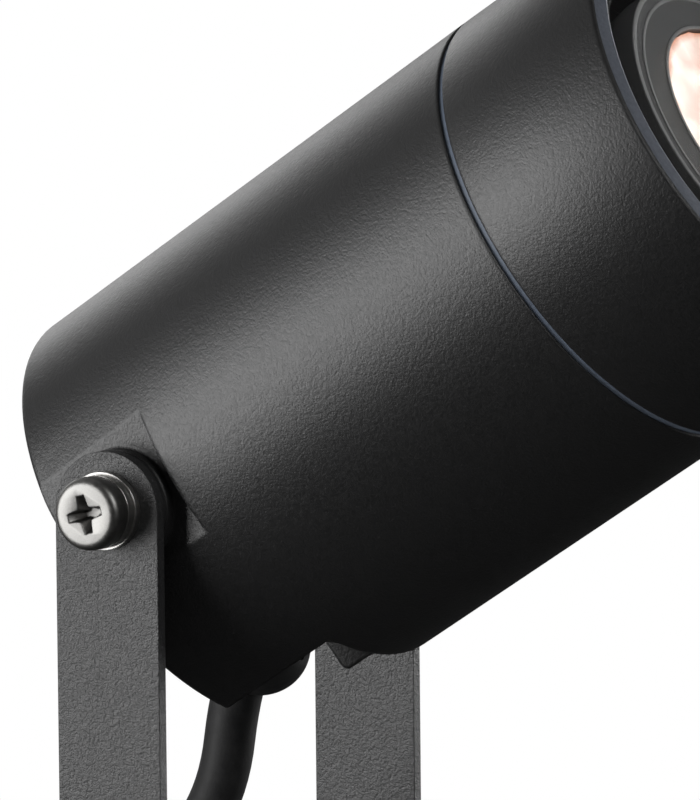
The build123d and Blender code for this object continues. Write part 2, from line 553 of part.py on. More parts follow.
# --- sheathed cable tail, terminal block, leads and earth screw -------------------------------
with BuildPart() as cable_tail:
    round_slice(gland_plane(GLAND_END_THICKNESS), TAIL_END - GLAND_END_THICKNESS, CABLE_RADIUS)
save(cable_tail, "cable_tail")

TERMINAL_LENGTH, TERMINAL_WIDTH, TERMINAL_HEIGHT = TERMINAL_SIZE
TERMINAL_FRONT_STATION = POCKET_REAR_STATION + TERMINAL_LENGTH
TERMINAL_MIDDLE = TERMINAL_BOTTOM + TERMINAL_HEIGHT / 2
TERMINAL_TOP = TERMINAL_BOTTOM + TERMINAL_HEIGHT
SUPPLY_ROW = TERMINAL_MIDDLE - TERMINAL_ROW_OFFSET
HOLDER_ROW = TERMINAL_MIDDLE + TERMINAL_ROW_OFFSET
WAY_PITCH = TERMINAL_WIDTH / 3
LEAD_END_STATION = TERMINAL_FRONT_STATION - LEAD_INSERTION
with BuildPart() as terminal_block:
    with BuildSketch(across(POCKET_REAR_STATION)):
        with Locations((0, TERMINAL_MIDDLE)):
            RectangleRounded(TERMINAL_WIDTH, TERMINAL_HEIGHT, 1.5)
    extrude(amount=TERMINAL_LENGTH)
    with BuildSketch(across(TERMINAL_FRONT_STATION)):
        for row in (SUPPLY_ROW, HOLDER_ROW):
            with Locations((-WAY_PITCH, row), (0, row), (WAY_PITCH, row)):
                Circle(TERMINAL_BORE_RADIUS)
    extrude(amount=-LEAD_INSERTION - 1, mode=Mode.SUBTRACT)
    top_plane = Plane(origin=head_point(POCKET_REAR_STATION + TERMINAL_LENGTH / 3, 0, TERMINAL_TOP),
                      x_dir=(0, 1, 0), z_dir=HEAD_UP)
    with BuildSketch(top_plane):
        with Locations((-WAY_PITCH, 0), (0, 0), (WAY_PITCH, 0)):
            Circle(TERMINAL_SCREW_RADIUS + 0.05)
    extrude(amount=-TERMINAL_SCREW_LENGTH, mode=Mode.SUBTRACT)
save(terminal_block, "terminal_block")

with BuildPart() as terminal_screws:
    with BuildSketch(top_plane):
        with Locations((-WAY_PITCH, 0), (0, 0), (WAY_PITCH, 0)):
            Circle(TERMINAL_SCREW_RADIUS)
    extrude(amount=-TERMINAL_SCREW_LENGTH)
save(terminal_screws, "terminal_screws")


def inner_lead(points, radius):
    """Sweep a round lead along its bent route into the part being built."""
    with BuildLine() as route:
        FilletPolyline(*points, radius=LEAD_BEND_RADIUS)
    start = route.wire() @ 0
    with BuildSketch(Plane(origin=start, z_dir=route.wire() % 0)) as outline:
        Circle(radius)
    sweep(outline.sketch, path=route.wire())


LEAD_RUN = 7.0               # straight core before its first bend
LEAD_SPREAD = 1.5            # cores from the middle of the sheath
LEAD_TURN_SPACE = 8.5        # from the terminal block's front to the supply leads' turn
with BuildPart() as supply_leads:
    for way in (0, 1):
        exit_side = (2 * way - 1) * LEAD_SPREAD
        way_side = (way - 1) * WAY_PITCH
        inner_lead([gland_point(TAIL_END, exit_side, LEAD_SPREAD),
                    gland_point(TAIL_END + LEAD_RUN, exit_side, LEAD_SPREAD),
                    head_point(TERMINAL_FRONT_STATION + LEAD_TURN_SPACE, way_side, SUPPLY_ROW),
                    head_point(LEAD_END_STATION, way_side, SUPPLY_ROW)], LEAD_RADIUS)
save(supply_leads, "supply_leads")

HOLDER_LEAD_ENTRY = 2.0      # sideways from the holder's middle
with BuildPart() as holder_leads:
    for way in (0, 1):
        way_side = (way - 1) * WAY_PITCH
        entry_side = (2 * way - 1) * HOLDER_LEAD_ENTRY
        turn_station = (TERMINAL_FRONT_STATION + LEAD_TURN_SPACE + PLATE_REAR_STATION) / 2
        inner_lead([head_point(LEAD_END_STATION, way_side, HOLDER_ROW),
                    head_point(turn_station, way_side, HOLDER_ROW),
                    head_point(PLATE_REAR_STATION - 5, entry_side, 0),
                    head_point(HOLDER_REAR_STATION, entry_side, 0)], HOLDER_LEAD_RADIUS)
save(holder_leads, "holder_leads")

LUG_BARREL_OFFSET = 4.0      # barrel middle over the screw
with BuildPart() as earth_lead:
    lug_front = CHAMBER_REAR_STATION + EARTH_LUG_THICKNESS
    lead_height = EARTH_SCREW_HEIGHT + LUG_BARREL_OFFSET + 1
    inner_lead([gland_point(TAIL_END, 0, -LEAD_SPREAD),
                gland_point(TAIL_END + LEAD_RUN, 0, -LEAD_SPREAD),
                head_point(lug_front + LEAD_RUN, EARTH_SCREW_OFFSET, lead_height),
                head_point(lug_front, EARTH_SCREW_OFFSET, lead_height)], LEAD_RADIUS)
save(earth_lead, "earth_lead")

with BuildPart() as earth_lug:
    with BuildSketch(across(CHAMBER_REAR_STATION)):
        with Locations((EARTH_SCREW_OFFSET, EARTH_SCREW_HEIGHT)):
            Circle(SMALL_SCREW_HEAD_RADIUS + 0.8)
        with Locations((EARTH_SCREW_OFFSET, EARTH_SCREW_HEIGHT + LUG_BARREL_OFFSET)):
            Rectangle(2 * LEAD_RADIUS + 0.6, 6)
        with Locations((EARTH_SCREW_OFFSET, EARTH_SCREW_HEIGHT)):
            Circle(SMALL_SCREW_RADIUS, mode=Mode.SUBTRACT)
    extrude(amount=EARTH_LUG_THICKNESS)
save(earth_lug, "earth_lug")

with BuildPart() as earth_screw:
    with BuildSketch(across(CHAMBER_REAR_STATION + EARTH_LUG_THICKNESS)):
        with Locations((EARTH_SCREW_OFFSET, EARTH_SCREW_HEIGHT)):
            Circle(SMALL_SCREW_HEAD_RADIUS)
    extrude(amount=SMALL_SCREW_HEAD_HEIGHT)
    with BuildSketch(across(CHAMBER_REAR_STATION + EARTH_LUG_THICKNESS)):
        with Locations((EARTH_SCREW_OFFSET, EARTH_SCREW_HEIGHT)):
            Circle(SMALL_SCREW_RADIUS)
    extrude(amount=-PARTITION_THICKNESS - EARTH_LUG_THICKNESS)
save(earth_screw, "earth_screw")

# --- tilt pivot: friction washers, screws, spring and flat washers on both sides --------------
with BuildPart() as friction_washers:
    for side in TILT_AXIS_OUT:
        round_slice(pivot_plane(side, FLAT_HALF_WIDTH + BOSS_HEIGHT), FRICTION_WASHER_THICKNESS,
                    FRICTION_WASHER_RADIUS, PIVOT_SCREW_RADIUS + WASHER_BORE_CLEARANCE)
save(friction_washers, "friction_washers")

with BuildPart() as flat_washers:
    for side in TILT_AXIS_OUT:
        round_slice(pivot_plane(side, ARM_OUTER_HALF_WIDTH), FLAT_WASHER_THICKNESS, FLAT_WASHER_RADIUS,
                    PIVOT_SCREW_RADIUS + WASHER_BORE_CLEARANCE)
save(flat_washers, "flat_washers")

SPRING_SEAT = ARM_OUTER_HALF_WIDTH + FLAT_WASHER_THICKNESS


def split_washer(plane, thickness, radius, bore):
    """Extrude a ring with its slanted split into the part being built."""
    with BuildSketch(plane) as outline:
        Circle(radius)
        Circle(bore, mode=Mode.SUBTRACT)
        with Locations((0, radius)):
            Rectangle(SPRING_WASHER_SPLIT, 2 * (radius - bore) + 2, rotation=SPRING_WASHER_SLANT,
                      mode=Mode.SUBTRACT)
    extrude(outline.sketch, amount=thickness)


with BuildPart() as spring_washers:
    for side in TILT_AXIS_OUT:
        split_washer(pivot_plane(side, SPRING_SEAT), SPRING_WASHER_THICKNESS, SPRING_WASHER_RADIUS,
                     PIVOT_SCREW_RADIUS + WASHER_BORE_CLEARANCE)
save(spring_washers, "spring_washers")

with BuildPart() as pivot_screws:
    for side in TILT_AXIS_OUT:
        seat_plane = pivot_plane(side, SPRING_SEAT + SPRING_WASHER_THICKNESS)
        round_slice(seat_plane, PIVOT_SCREW_HEAD_HEIGHT, PIVOT_SCREW_HEAD_RADIUS)
        rim = pivot_screws.edges().filter_by(GeomType.CIRCLE).sort_by(Axis(PIVOT, TILT_AXIS_OUT[side]))[-1]
        fillet(rim, PIVOT_SCREW_HEAD_ROUND)
        round_slice(seat_plane, -PIVOT_SCREW_LENGTH, PIVOT_SCREW_RADIUS)
        top_of_head = SPRING_SEAT + SPRING_WASHER_THICKNESS + PIVOT_SCREW_HEAD_HEIGHT
        with BuildSketch(pivot_plane(side, top_of_head)):
            Rectangle(RECESS_WIDTH, RECESS_SLOT, rotation=RECESS_TURN - TILT)
            Rectangle(RECESS_SLOT, RECESS_WIDTH, rotation=RECESS_TURN - TILT)
        extrude(amount=-RECESS_DEPTH, taper=12, mode=Mode.SUBTRACT)
save(pivot_screws, "pivot_screws")

# --- strip bracket: two round-ended arms and a drilled base -----------------------------------
with BuildPart() as bracket:
    with BuildSketch(Plane.XZ.offset(-ARM_OUTER_HALF_WIDTH)):
        with Locations((0, PIVOT_Z)):
            Circle(HALF_STRIP)
        with Locations((0, BRACKET_UNDERSIDE)):
            Rectangle(STRIP_WIDTH, PIVOT_Z - BRACKET_UNDERSIDE, align=(Align.CENTER, Align.MIN))
    extrude(amount=2 * ARM_OUTER_HALF_WIDTH)
    with BuildSketch(Plane.YZ.offset(-HALF_STRIP - 1)):
        with Locations((0, BRACKET_FLOOR)):
            Rectangle(2 * ARM_INNER_HALF_WIDTH, 2 * PIVOT_HEIGHT, align=(Align.CENTER, Align.MIN))
    extrude(amount=STRIP_WIDTH + 2, mode=Mode.SUBTRACT)
    bend_edges = bracket.edges().filter_by(Axis.X)
    fillet(bend_edges.filter_by_position(Axis.Z, BRACKET_UNDERSIDE - 0.1, BRACKET_UNDERSIDE + 0.1),
           BEND_RADIUS + STRIP_THICKNESS)
    bend_edges = bracket.edges().filter_by(Axis.X)
    fillet(bend_edges.filter_by_position(Axis.Z, BRACKET_FLOOR - 0.1, BRACKET_FLOOR + 0.1), BEND_RADIUS)
    with BuildSketch(Plane.XZ.offset(-ARM_OUTER_HALF_WIDTH)):
        with Locations((0, PIVOT_Z)):
            Circle(PIVOT_SCREW_RADIUS + PIVOT_FIT)
    extrude(amount=2 * ARM_OUTER_HALF_WIDTH, mode=Mode.SUBTRACT)
    with BuildSketch(Plane.XY.offset(BRACKET_UNDERSIDE)):
        Circle(BASE_BOLT_RADIUS + PIVOT_FIT)
    extrude(amount=STRIP_THICKNESS, mode=Mode.SUBTRACT)
save(bracket, "bracket")

# --- base fasteners ---------------------------------------------------------------------------
BASE_SPRING_SEAT = BRACKET_FLOOR + BASE_WASHER_THICKNESS
BASE_BOLT_SEAT = BASE_SPRING_SEAT + BASE_SPRING_WASHER_THICKNESS
with BuildPart() as base_washer:
    round_slice(Plane.XY.offset(BRACKET_FLOOR), BASE_WASHER_THICKNESS, BASE_WASHER_RADIUS,
                BASE_BOLT_RADIUS + WASHER_BORE_CLEARANCE)
save(base_washer, "base_washer")

with BuildPart() as base_spring_washer:
    split_washer(Plane.XY.offset(BASE_SPRING_SEAT), BASE_SPRING_WASHER_THICKNESS, BASE_SPRING_WASHER_RADIUS,
                 BASE_BOLT_RADIUS + WASHER_BORE_CLEARANCE)
save(base_spring_washer, "base_spring_washer")

with BuildPart() as base_bolt:
    hex_slice(Plane.XY.offset(BASE_BOLT_SEAT), BASE_BOLT_HEAD_HEIGHT, BASE_BOLT_HEX_FLAT)
    with BuildSketch(Plane.XZ):
        with BuildLine():
            crown = BASE_BOLT_SEAT + BASE_BOLT_HEAD_HEIGHT
            Polyline((0, BASE_BOLT_SEAT), (2 * BASE_BOLT_HEX_FLAT, BASE_BOLT_SEAT),
                     (BASE_BOLT_HEX_FLAT, crown), (0, crown), close=True)
        make_face()
    revolve(axis=Axis.Z, mode=Mode.INTERSECT)
    round_slice(Plane.XY.offset(BASE_BOLT_SEAT), -BASE_BOLT_LENGTH, BASE_BOLT_RADIUS)
save(base_bolt, "base_bolt")

# --- ground spike: four tapering blades, cross webs, flange and neck --------------------------
INSERT_BOTTOM = BRACKET_UNDERSIDE - INSERT_LENGTH
with BuildPart() as ground_spike:
    for blade_plane in (Plane.XZ, Plane.YZ):
        with BuildSketch(blade_plane):
            with BuildLine():
                Polyline((-BLADE_TIP_HALF_WIDTH, 0), (BLADE_TIP_HALF_WIDTH, 0),
                         (BLADE_HALF_WIDTH - BLADE_TAPER, BLADE_SHOULDER), (BLADE_HALF_WIDTH, BLADE_LENGTH),
                         (-BLADE_HALF_WIDTH, BLADE_LENGTH), (BLADE_TAPER - BLADE_HALF_WIDTH, BLADE_SHOULDER),
                         close=True)
            make_face()
        extrude(amount=BLADE_THICKNESS / 2, both=True)
    web_pitch = (BLADE_LENGTH - BLADE_SHOULDER) / WEB_COUNT
    for web in range(WEB_COUNT):
        round_slice(Plane.XY.offset(BLADE_SHOULDER + web * web_pitch), WEB_THICKNESS,
                    WEB_SHARE * (BLADE_HALF_WIDTH - BLADE_TAPER))
    round_slice(Plane.XY.offset(BLADE_LENGTH), FLANGE_THICKNESS, FLANGE_RADIUS)
    round_slice(Plane.XY.offset(BLADE_LENGTH), -FLANGE_RIM_HEIGHT, FLANGE_RADIUS,
                FLANGE_RADIUS - FLANGE_RIM_WIDTH)
    fillet(ground_spike.edges().filter_by(GeomType.CIRCLE).group_by(Axis.Z)[-1], FLANGE_THICKNESS / 3)
    with BuildSketch(Plane.XY.offset(FLANGE_TOP)):
        Circle(NECK_FOOT_RADIUS)
    with BuildSketch(Plane.XY.offset(BRACKET_UNDERSIDE)):
        Circle(NECK_RADIUS)
    loft()
    round_slice(Plane.XY.offset(INSERT_BOTTOM), -INSERT_RADIUS, INSERT_RADIUS + BLADE_THICKNESS / 2)
    round_slice(Plane.XY.offset(BRACKET_UNDERSIDE), -INSERT_LENGTH, INSERT_RADIUS, mode=Mode.SUBTRACT)
    round_slice(Plane.XY.offset(BRACKET_UNDERSIDE), BASE_BOLT_SEAT - BRACKET_UNDERSIDE - BASE_BOLT_LENGTH - 1,
                BASE_BOLT_RADIUS + 0.5, mode=Mode.SUBTRACT)
save(ground_spike, "ground_spike")

with BuildPart() as thread_insert:
    round_slice(Plane.XY.offset(INSERT_BOTTOM), INSERT_LENGTH, INSERT_RADIUS, BASE_BOLT_RADIUS)
save(thread_insert, "thread_insert")

# --- free cable from the gland to the floor ---------------------------------------------------
def rounded_route(points):
    """Return the radii that round a cable's corners, each from its shorter run and its turn."""
    vectors = [Vector(*point) for point in points]
    runs = [after - before for before, after in zip(vectors, vectors[1:])]
    radii = []
    for first, second in zip(runs, runs[1:]):
        half_turn = radians(first.get_angle(second)) / 2
        radii.append(0.45 * min(first.length, second.length) / tan(half_turn))
    return radii


def cable_tube(points, label):
    """Sweep the round cable along straight runs joined by tangent arcs, and print its sizes."""
    radii = rounded_route(points)
    with BuildLine() as route:
        FilletPolyline(*points, radius=radii)
    wire = route.wire()
    with BuildSketch(Plane(origin=wire @ 0, z_dir=wire % 0)) as outline:
        Circle(CABLE_RADIUS)
    sweep(outline.sketch, path=wire)
    print(label, "radii", [round(radius, 1) for radius in radii], "length", round(wire.length, 1),
          "section times length", round(pi * CABLE_RADIUS ** 2 * wire.length))


CABLE_LOW = CABLE_RADIUS     # height of the centreline where the cable lies on the floor
CABLE_EXIT = gland_point(GLAND_END_THICKNESS)
CABLE_CORNER = gland_point(-3.0)
COIL_CENTRE = Vector(COIL_START[0], COIL_START[1] + COIL_OUTER_RADIUS, CABLE_LOW)
COIL_ENTRY = (COIL_START[0] + 2 * CABLE_RADIUS, COIL_START[1], CABLE_LOW)
DROP_ROUTE = [
    tuple(CABLE_EXIT),
    tuple(CABLE_CORNER),
    (-3.2, 0.0, 204.5),
    (-8.4, 0.15, 195.2),
    (-16.8, 0.4, 184.5),
    (-30.5, 1.0, 160.0),
    (-34.0, 2.5, 118.0),
    (-31.5, 3.6, 78.0),
    (-33.5, 4.6, 47.0),
    (-43.0, 6.2, 25.0),
    (-60.0, 8.0, 9.8),
    (-80.0, 9.0, CABLE_LOW),
    COIL_ENTRY,
]
with BuildPart() as cable_drop:
    cable_tube(DROP_ROUTE, "cable_drop")
print("cable_drop volume", round(cable_drop.part.volume))
save(cable_drop, "cable_drop")

# --- put-away coil: one tube that spirals in on the floor and out again one layer up ----------
HALF_TURNS = COIL_TURNS / 2


def coil_point(turns):
    """Return the coil's centreline after a number of clockwise turns from its start."""
    angle = -pi / 2 - 2 * pi * turns
    radius = COIL_OUTER_RADIUS - COIL_TURN_PITCH * (HALF_TURNS - abs(turns - HALF_TURNS))
    climbed = min(max(turns - HALF_TURNS + 0.25, 0), 0.5) / 0.5
    return COIL_CENTRE + Vector(radius * cos(angle), radius * sin(angle), COIL_LAYER_PITCH * climbed)


def coil_tangent(turns):
    """Return the direction of the coil's centreline, level and round at its two ends."""
    if turns in (0, COIL_TURNS):
        angle = -pi / 2 - 2 * pi * turns
        return Vector(sin(angle), -cos(angle), 0)
    step = 0.02
    return (coil_point(turns + step) - coil_point(turns - step)).normalized()


def biarc_joint(start, start_way, end, end_way):
    """Return the point where two arcs meet that leave start and reach end along given ways."""
    chord = end - start
    ways = start_way + end_way
    spread = 2 * (1 - start_way.dot(end_way))
    reach = (-chord.dot(ways) + sqrt(chord.dot(ways) ** 2 + spread * chord.dot(chord))) / spread
    return (start + end + (start_way - end_way) * reach) * 0.5


with BuildPart() as cable_coil:
    with BuildLine() as coil_path:
        coil_in = coil_point(0) - coil_tangent(0) * 2 * CABLE_RADIUS
        last_edge = Line(coil_in, coil_point(0))
        for step in range(int(COIL_TURNS * COIL_POINTS_PER_TURN)):
            here, there = step / COIL_POINTS_PER_TURN, (step + 1) / COIL_POINTS_PER_TURN
            joint = biarc_joint(coil_point(here), coil_tangent(here), coil_point(there), coil_tangent(there))
            first_arc = TangentArc(last_edge @ 1, joint, tangent=coil_tangent(here))
            last_edge = TangentArc(first_arc @ 1, coil_point(there), tangent=first_arc % 1)
        coil_out = coil_point(COIL_TURNS) + coil_tangent(COIL_TURNS) * 2 * CABLE_RADIUS
        Line(last_edge @ 1, coil_out)
    coil_wire = coil_path.wire()
    with BuildSketch(Plane(origin=coil_wire @ 0, z_dir=coil_wire % 0)):
        Circle(CABLE_RADIUS)
    sweep(path=coil_wire)
save(cable_coil, "cable_coil")

SAMPLES_PER_TURN = 90
samples = [coil_point(count / SAMPLES_PER_TURN) for count in range(int(COIL_TURNS * SAMPLES_PER_TURN) + 1)]
least_gap = min((samples[first] - samples[second]).length - 2 * CABLE_RADIUS
                for first in range(len(samples))
                for second in range(first + SAMPLES_PER_TURN // 2, len(samples)))
print("cable_coil length", round(coil_wire.length, 1), "volume", round(cable_coil.part.volume),
      "section times length", round(pi * CABLE_RADIUS ** 2 * coil_wire.length),
      "least gap", round(least_gap, 2))

# --- cable end from the coil to the plug ------------------------------------------------------
PLUG_ENTRY = (PLUG_END[0], PLUG_END[1], PLUG_BODY_RADIUS)
END_ROUTE = [
    tuple(coil_out),
    (-82.0, COIL_START[1] + 2 * COIL_OUTER_RADIUS, CABLE_LOW + COIL_LAYER_PITCH),
    (-62.0, 94.0, CABLE_LOW + 3.2),
    (-40.0, 96.5, CABLE_LOW + 0.1),
    (-18.0, 97.2, CABLE_LOW + 0.8),
    (4.0, 95.4, 11.0),
    (25.0, PLUG_END[1], PLUG_BODY_RADIUS),
    PLUG_ENTRY,
]
with BuildPart() as cable_end:
    cable_tube(END_ROUTE, "cable_end")
print("cable_end volume", round(cable_end.part.volume))
save(cable_end, "cable_end")

# --- two-pin plug with side earth contacts ----------------------------------------------------
def plug_plane(distance):
    """Return the plane square to the plug's axis at a distance from the cable's entry."""
    return Plane(origin=(PLUG_END[0] + distance, PLUG_END[1], PLUG_BODY_RADIUS), x_dir=(0, 1, 0),
                 z_dir=(1, 0, 0))


PLUG_GRIP_START = PLUG_SLEEVE_LENGTH
PLUG_DISC_START = PLUG_GRIP_START + PLUG_GRIP_LENGTH
PLUG_FACE = PLUG_DISC_START + PLUG_DISC_LENGTH
with BuildPart() as plug_sleeve:
    with BuildSketch(plug_plane(0)):
        Circle(CABLE_RADIUS + 1)
    with BuildSketch(plug_plane(PLUG_SLEEVE_LENGTH)):
        Circle(PLUG_SLEEVE_RADIUS)
    loft()
    for groove in range(PLUG_GROOVE_COUNT):
        start = (groove + 1) * PLUG_SLEEVE_LENGTH / (PLUG_GROOVE_COUNT + 1)
        round_slice(plug_plane(start), PLUG_GROOVE_WIDTH, PLUG_SLEEVE_RADIUS + 1, PLUG_GROOVE_RADIUS,
                    mode=Mode.SUBTRACT)
save(plug_sleeve, "plug_sleeve")

with BuildPart() as plug_body:
    with BuildSketch(plug_plane(PLUG_GRIP_START)):
        Circle(PLUG_GRIP_RADIUS)
    with BuildSketch(plug_plane(PLUG_GRIP_START + PLUG_GRIP_LENGTH * 0.6)):
        RectangleRounded(2.1 * PLUG_GRIP_RADIUS, 3 * PLUG_GRIP_RADIUS, 0.9 * PLUG_GRIP_RADIUS)
    with BuildSketch(plug_plane(PLUG_DISC_START)):
        RectangleRounded(1.9 * PLUG_BODY_RADIUS, 1.9 * PLUG_BODY_RADIUS, 0.9 * PLUG_BODY_RADIUS)
    loft()
    round_slice(plug_plane(PLUG_DISC_START), PLUG_DISC_LENGTH, PLUG_BODY_RADIUS)
    fillet(plug_body.edges().group_by(Axis.X)[-1], 1.5)
    with BuildSketch(plug_plane(PLUG_FACE)):
        with Locations((0, -PLUG_BODY_RADIUS), (0, PLUG_BODY_RADIUS)):
            Rectangle(PLUG_CLIP_WIDTH + 2, 6)
    extrude(amount=-PLUG_DISC_LENGTH * 0.8, mode=Mode.SUBTRACT)
    with BuildSketch(plug_plane(PLUG_FACE)):
        with Locations((0, PLUG_BODY_RADIUS * 0.5)):
            Circle(PLUG_EARTH_HOLE_RADIUS)
    extrude(amount=-PLUG_DISC_LENGTH * 0.8, mode=Mode.SUBTRACT)
save(plug_body, "plug_body")

with BuildPart() as plug_pins:
    with BuildSketch(plug_plane(PLUG_FACE)):
        with Locations((-PLUG_PIN_SPACING / 2, 0), (PLUG_PIN_SPACING / 2, 0)):
            Circle(PLUG_PIN_RADIUS)
    extrude(amount=PLUG_PIN_LENGTH)
    fillet(plug_pins.edges().group_by(Axis.X)[-1], PLUG_PIN_RADIUS * 0.6)
save(plug_pins, "plug_pins")

with BuildPart() as plug_earth_clips:
    with BuildSketch(plug_plane(PLUG_FACE)):
        with Locations((0, PLUG_BODY_RADIUS - 3 + PLUG_CLIP_THICKNESS / 2),
                       (0, -PLUG_BODY_RADIUS + 3 - PLUG_CLIP_THICKNESS / 2)):
            Rectangle(PLUG_CLIP_WIDTH, PLUG_CLIP_THICKNESS)
    extrude(amount=-PLUG_DISC_LENGTH * 0.8)
save(plug_earth_clips, "plug_earth_clips")
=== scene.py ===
"""Garden spike spotlight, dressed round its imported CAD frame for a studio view.

The head, bracket, spike and plug are CAD nodes, and each gets its finish here.  The pieces
that need more detail than the solids carry are modelled here: the pivot screws, the front
ring, the face of the lamp, and the cable as one smooth line.  A plain pale studio and the
camera at the photographed angle complete the scene.  Places are in metres in the frame of
the CAD model, whose origin is the spike's tip.
"""

import json
import logging
import math
from collections.abc import Callable
from dataclasses import dataclass, field
from enum import Enum

import bpy
from mathutils import Matrix, Vector

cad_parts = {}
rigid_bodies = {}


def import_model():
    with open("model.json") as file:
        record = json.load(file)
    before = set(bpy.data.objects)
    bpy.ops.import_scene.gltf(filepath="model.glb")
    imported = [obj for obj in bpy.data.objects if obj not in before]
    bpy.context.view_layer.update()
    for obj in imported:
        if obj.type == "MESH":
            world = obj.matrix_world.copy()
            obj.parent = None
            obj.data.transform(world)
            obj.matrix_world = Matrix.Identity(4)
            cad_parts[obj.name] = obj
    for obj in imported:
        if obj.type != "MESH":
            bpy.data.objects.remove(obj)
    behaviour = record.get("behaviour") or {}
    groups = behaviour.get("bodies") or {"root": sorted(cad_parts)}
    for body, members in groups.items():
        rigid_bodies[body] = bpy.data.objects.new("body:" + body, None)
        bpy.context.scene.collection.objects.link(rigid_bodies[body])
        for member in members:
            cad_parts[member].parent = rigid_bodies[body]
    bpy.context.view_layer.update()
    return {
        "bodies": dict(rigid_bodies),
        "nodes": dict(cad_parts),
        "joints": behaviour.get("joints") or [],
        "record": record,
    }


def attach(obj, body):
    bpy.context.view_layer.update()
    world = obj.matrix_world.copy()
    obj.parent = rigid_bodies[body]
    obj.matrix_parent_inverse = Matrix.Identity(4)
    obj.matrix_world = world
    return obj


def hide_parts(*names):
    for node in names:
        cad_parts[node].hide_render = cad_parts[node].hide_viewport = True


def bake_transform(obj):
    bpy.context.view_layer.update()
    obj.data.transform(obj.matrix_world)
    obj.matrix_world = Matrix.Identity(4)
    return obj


LOG = logging.getLogger("spotlight")
MM = 0.001
Pair = tuple[float, float]
Triple = tuple[float, float, float]

TILT = math.radians(33.2)         # head axis above the horizontal
PIVOT = Vector((0.0, 0.0, 0.251))  # middle of the tilt axis
AIM = Vector((math.cos(TILT), 0.0, math.sin(TILT)))
HEAD_UP = Vector((-math.sin(TILT), 0.0, math.cos(TILT)))
SIDE = Vector((0.0, 1.0, 0.0))
GLAND_SLANT = math.radians(38.0)  # gland axis against the head axis
GLAND_STATION = -17.6             # the gland's open end along the head axis, millimetres
GLAND_HEIGHT = -25.9              # and upright to it
LAMP_STATION = 103.9              # the lamp's front plane along the head axis, millimetres
LENS_RADIUS = 17.2                # millimetres
TONE_ENDS = (0.35, 0.65)          # heights of the grain where its two tones are reached
SHARP = math.radians(40.0)        # edges sharper than this are rounded
FACING = 0.9                      # least cosine between a face's normal and a way it faces


def head_point(station: float, side: float = 0.0, height: float = 0.0) -> Vector:
    """Return a point of the head.

    Args:
        station: Distance along the head's axis from the tilt pivot, in millimetres.
        side: Distance along +Y, in millimetres.
        height: Distance upright to the head's axis, in millimetres.

    Returns:
        The point in metres.
    """
    return PIVOT + (AIM * station + SIDE * side + HEAD_UP * height) * MM


def gland_point(distance: float) -> Vector:
    """Return a point on the gland's axis.

    Args:
        distance: Distance from the open end into the head, in millimetres.

    Returns:
        The point in metres.
    """
    return head_point(GLAND_STATION + distance * math.cos(GLAND_SLANT), 0.0,
                      GLAND_HEIGHT + distance * math.sin(GLAND_SLANT))


class Body(str, Enum):
    """The CAD bodies that the modelled pieces ride on."""

    BRACKET = "bracket"
    HEAD = "head"
    LAMP = "lamp"
    BEZEL = "bezel"


class Slot(str, Enum):
    """The record's material slots that the modelled pieces use."""

    COAT = "coat"
    SEAL = "seal"
    BLACK_RUBBER = "black_rubber"
    GLASS = "glass"
    LAMP_SHELL = "lamp_shell"
    STAINLESS = "stainless"


class Wiring:
    """A small helper that adds and joins the nodes of one material or world."""

    def __init__(self, owner: bpy.types.Material | bpy.types.World, output: str) -> None:
        """Start with nothing but the output node.

        Args:
            owner: The material or world.
            output: The output node's type name.
        """
        owner.use_nodes = True
        self.owner = owner
        self.tree = owner.node_tree
        self.tree.nodes.clear()
        self.output = self.add(output)

    def add(self, kind: str, **values: object) -> bpy.types.Node:
        """Add a node and set its properties and inputs.

        Args:
            kind: The node's type name.
            values: Properties by attribute name, or inputs by name with spaces as "_".

        Returns:
            The new node.
        """
        node = self.tree.nodes.new(kind)
        for key, value in values.items():
            if hasattr(node, key):
                setattr(node, key, value)
            else:
                node.inputs[key.replace("_", " ")].default_value = value
        return node

    def join(self, source: bpy.types.NodeSocket, target: bpy.types.NodeSocket) -> None:
        """Link an output socket to an input socket."""
        self.tree.links.new(source, target)

    def close(self, surface: bpy.types.NodeSocket) -> None:
        """Link a shader to the output."""
        self.join(surface, self.output.inputs["Surface"])

    def mix(self, share: bpy.types.NodeSocket, first: bpy.types.NodeSocket,
            second: bpy.types.NodeSocket) -> bpy.types.NodeSocket:
        """Mix two shaders.

        Args:
            share: The second shader's share.
            first: The first shader.
            second: The second shader.

        Returns:
            The mixed shader.
        """
        mix = self.add("ShaderNodeMixShader")
        for source, target in zip((share, first, second), mix.inputs):
            self.join(source, target)
        return mix.outputs[0]

    def rays(self, *kinds: str) -> bpy.types.NodeSocket:
        """Return a value that is 1 for rays of any of the given kinds.

        Args:
            kinds: Names of the light path's outputs.

        Returns:
            The value.
        """
        path = self.add("ShaderNodeLightPath")
        found = path.outputs[kinds[0]]
        for kind in kinds[1:]:
            either = self.add("ShaderNodeMath", operation="MAXIMUM")
            self.join(found, either.inputs[0])
            self.join(path.outputs[kind], either.inputs[1])
            found = either.outputs[0]
        return found


def sheet_for(name: str) -> Wiring:
    """Start a new node material with the given name."""
    return Wiring(bpy.data.materials.new(name), "ShaderNodeOutputMaterial")


def rgba(red: float, green: float, blue: float) -> tuple[float, float, float, float]:
    """Return an opaque colour."""
    return (red, green, blue, 1.0)


def ramp(sheet: Wiring, height: bpy.types.NodeSocket, ends: Pair, tones: tuple[Triple, Triple]
         ) -> bpy.types.NodeSocket:
    """Turn a value into a colour between two tones.

    Args:
        sheet: The material's nodes.
        height: The value.
        ends: Values at which the two tones are reached.
        tones: The two colours, linear.

    Returns:
        The colour.
    """
    node = sheet.add("ShaderNodeValToRGB")
    for stop, place, tone in zip(node.color_ramp.elements, ends, tones):
        stop.position = place
        stop.color = rgba(*tone)
    sheet.join(height, node.inputs["Fac"])
    return node.outputs["Color"]


